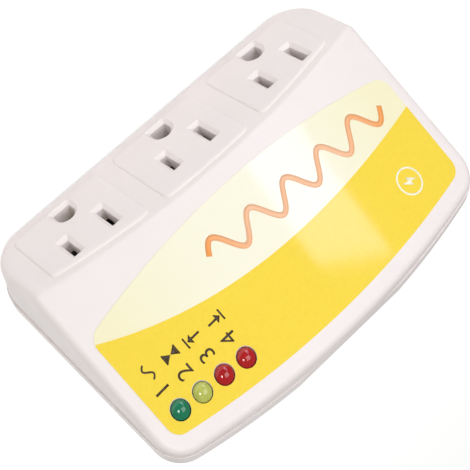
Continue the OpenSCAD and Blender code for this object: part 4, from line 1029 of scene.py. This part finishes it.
def softbox(name, azimuth, elevation, width, height, radiance, colour=(1, 1, 1)):
    """A rectangular softbox that faces the target.

    Its direction is given by azimuth (from the front towards +X) and elevation, its size by the angles that it
    covers, all in degrees, and its power is pi times radiance times area."""
    az, el = math.radians(azimuth), math.radians(elevation)
    d = Vector((math.sin(az)*math.cos(el), -math.cos(az)*math.cos(el), math.sin(el)))
    data = bpy.data.lights.new(name, "AREA")
    data.shape = "RECTANGLE"
    data.size, data.size_y = (2*LAMP_DISTANCE*math.tan(math.radians(a)/2) for a in (width, height))
    data.energy = radiance*math.pi*data.size*data.size_y
    data.color = colour
    light = bpy.data.objects.new(name, data)
    side = Vector((0, 0, 1)).cross(d).normalized()
    turn = Matrix((side, d.cross(side), d)).transposed().to_4x4()
    light.matrix_world = Matrix.Translation(LAMP_TARGET + d*LAMP_DISTANCE) @ turn
    bpy.context.collection.objects.link(light)


def surroundings():
    """World: white to the camera, a soft even grey to light the object."""
    world = bpy.data.worlds.new("studio")
    bpy.context.scene.world = world
    world.use_nodes = True
    nodes, links = world.node_tree.nodes, world.node_tree.links
    nodes.clear()
    out = nodes.new("ShaderNodeOutputWorld")
    seen, fill = nodes.new("ShaderNodeBackground"), nodes.new("ShaderNodeBackground")
    set_inputs(seen, Color=(1, 1, 1, 1), Strength=1.0)
    set_inputs(fill, Color=(1, 0.993, 0.978, 1), Strength=0.43)
    path, mix = nodes.new("ShaderNodeLightPath"), nodes.new("ShaderNodeMixShader")
    links.new(path.outputs["Is Camera Ray"], mix.inputs["Fac"])
    links.new(fill.outputs[0], mix.inputs[1])
    links.new(seen.outputs[0], mix.inputs[2])
    links.new(mix.outputs[0], out.inputs["Surface"])


def floor():
    """A plain pale floor under the object, white to the camera where no shadow falls."""
    z, half = (-BELOW_RIDGE - RIM_STEP - PLUG_Y)*MM, 8.0
    verts = np.array([(-half, -half, z), (half, -half, z), (half, half, z), (-half, half, z)])
    piece = new_object("floor", verts, [(0, 1, 2, 3)])
    m, tree, shader = material("pale_floor", (0.93, 0.93, 0.93), 0.9)
    nodes, links = tree.nodes, tree.links
    glow, both = nodes.new("ShaderNodeEmission"), nodes.new("ShaderNodeAddShader")
    set_inputs(glow, Color=(1, 1, 1, 1), Strength=0.58)
    path, seen, mix = (nodes.new("ShaderNode" + kind) for kind in ("LightPath", "Math", "MixShader"))
    seen.operation = "MAXIMUM"
    links.new(path.outputs["Is Camera Ray"], seen.inputs[0])
    links.new(path.outputs["Is Glossy Ray"], seen.inputs[1])
    links.new(shader.outputs[0], both.inputs[0])
    links.new(glow.outputs[0], both.inputs[1])
    links.new(seen.outputs[0], mix.inputs["Fac"])
    links.new(shader.outputs[0], mix.inputs[1])
    links.new(both.outputs[0], mix.inputs[2])
    out = next(n for n in nodes if n.type == "OUTPUT_MATERIAL")
    links.new(mix.outputs[0], out.inputs["Surface"])
    wear(piece, m)


camera()
surroundings()
floor()
softbox("glare_softbox", -29, 27.5, 11, 11, 5.0, (0.55, 0.6, 1.0))
softbox("right_softbox", -29, 3, 26, 30, 3.8)
softbox("left_softbox", 42, 35, 13, 11, 14.2)
softbox("upper_softbox", -5, 52, 30, 24, 3.15)
softbox("back_softbox", 180, 10, 30, 40, 0.35)
view = bpy.context.scene.view_settings
view.view_transform = "Standard"
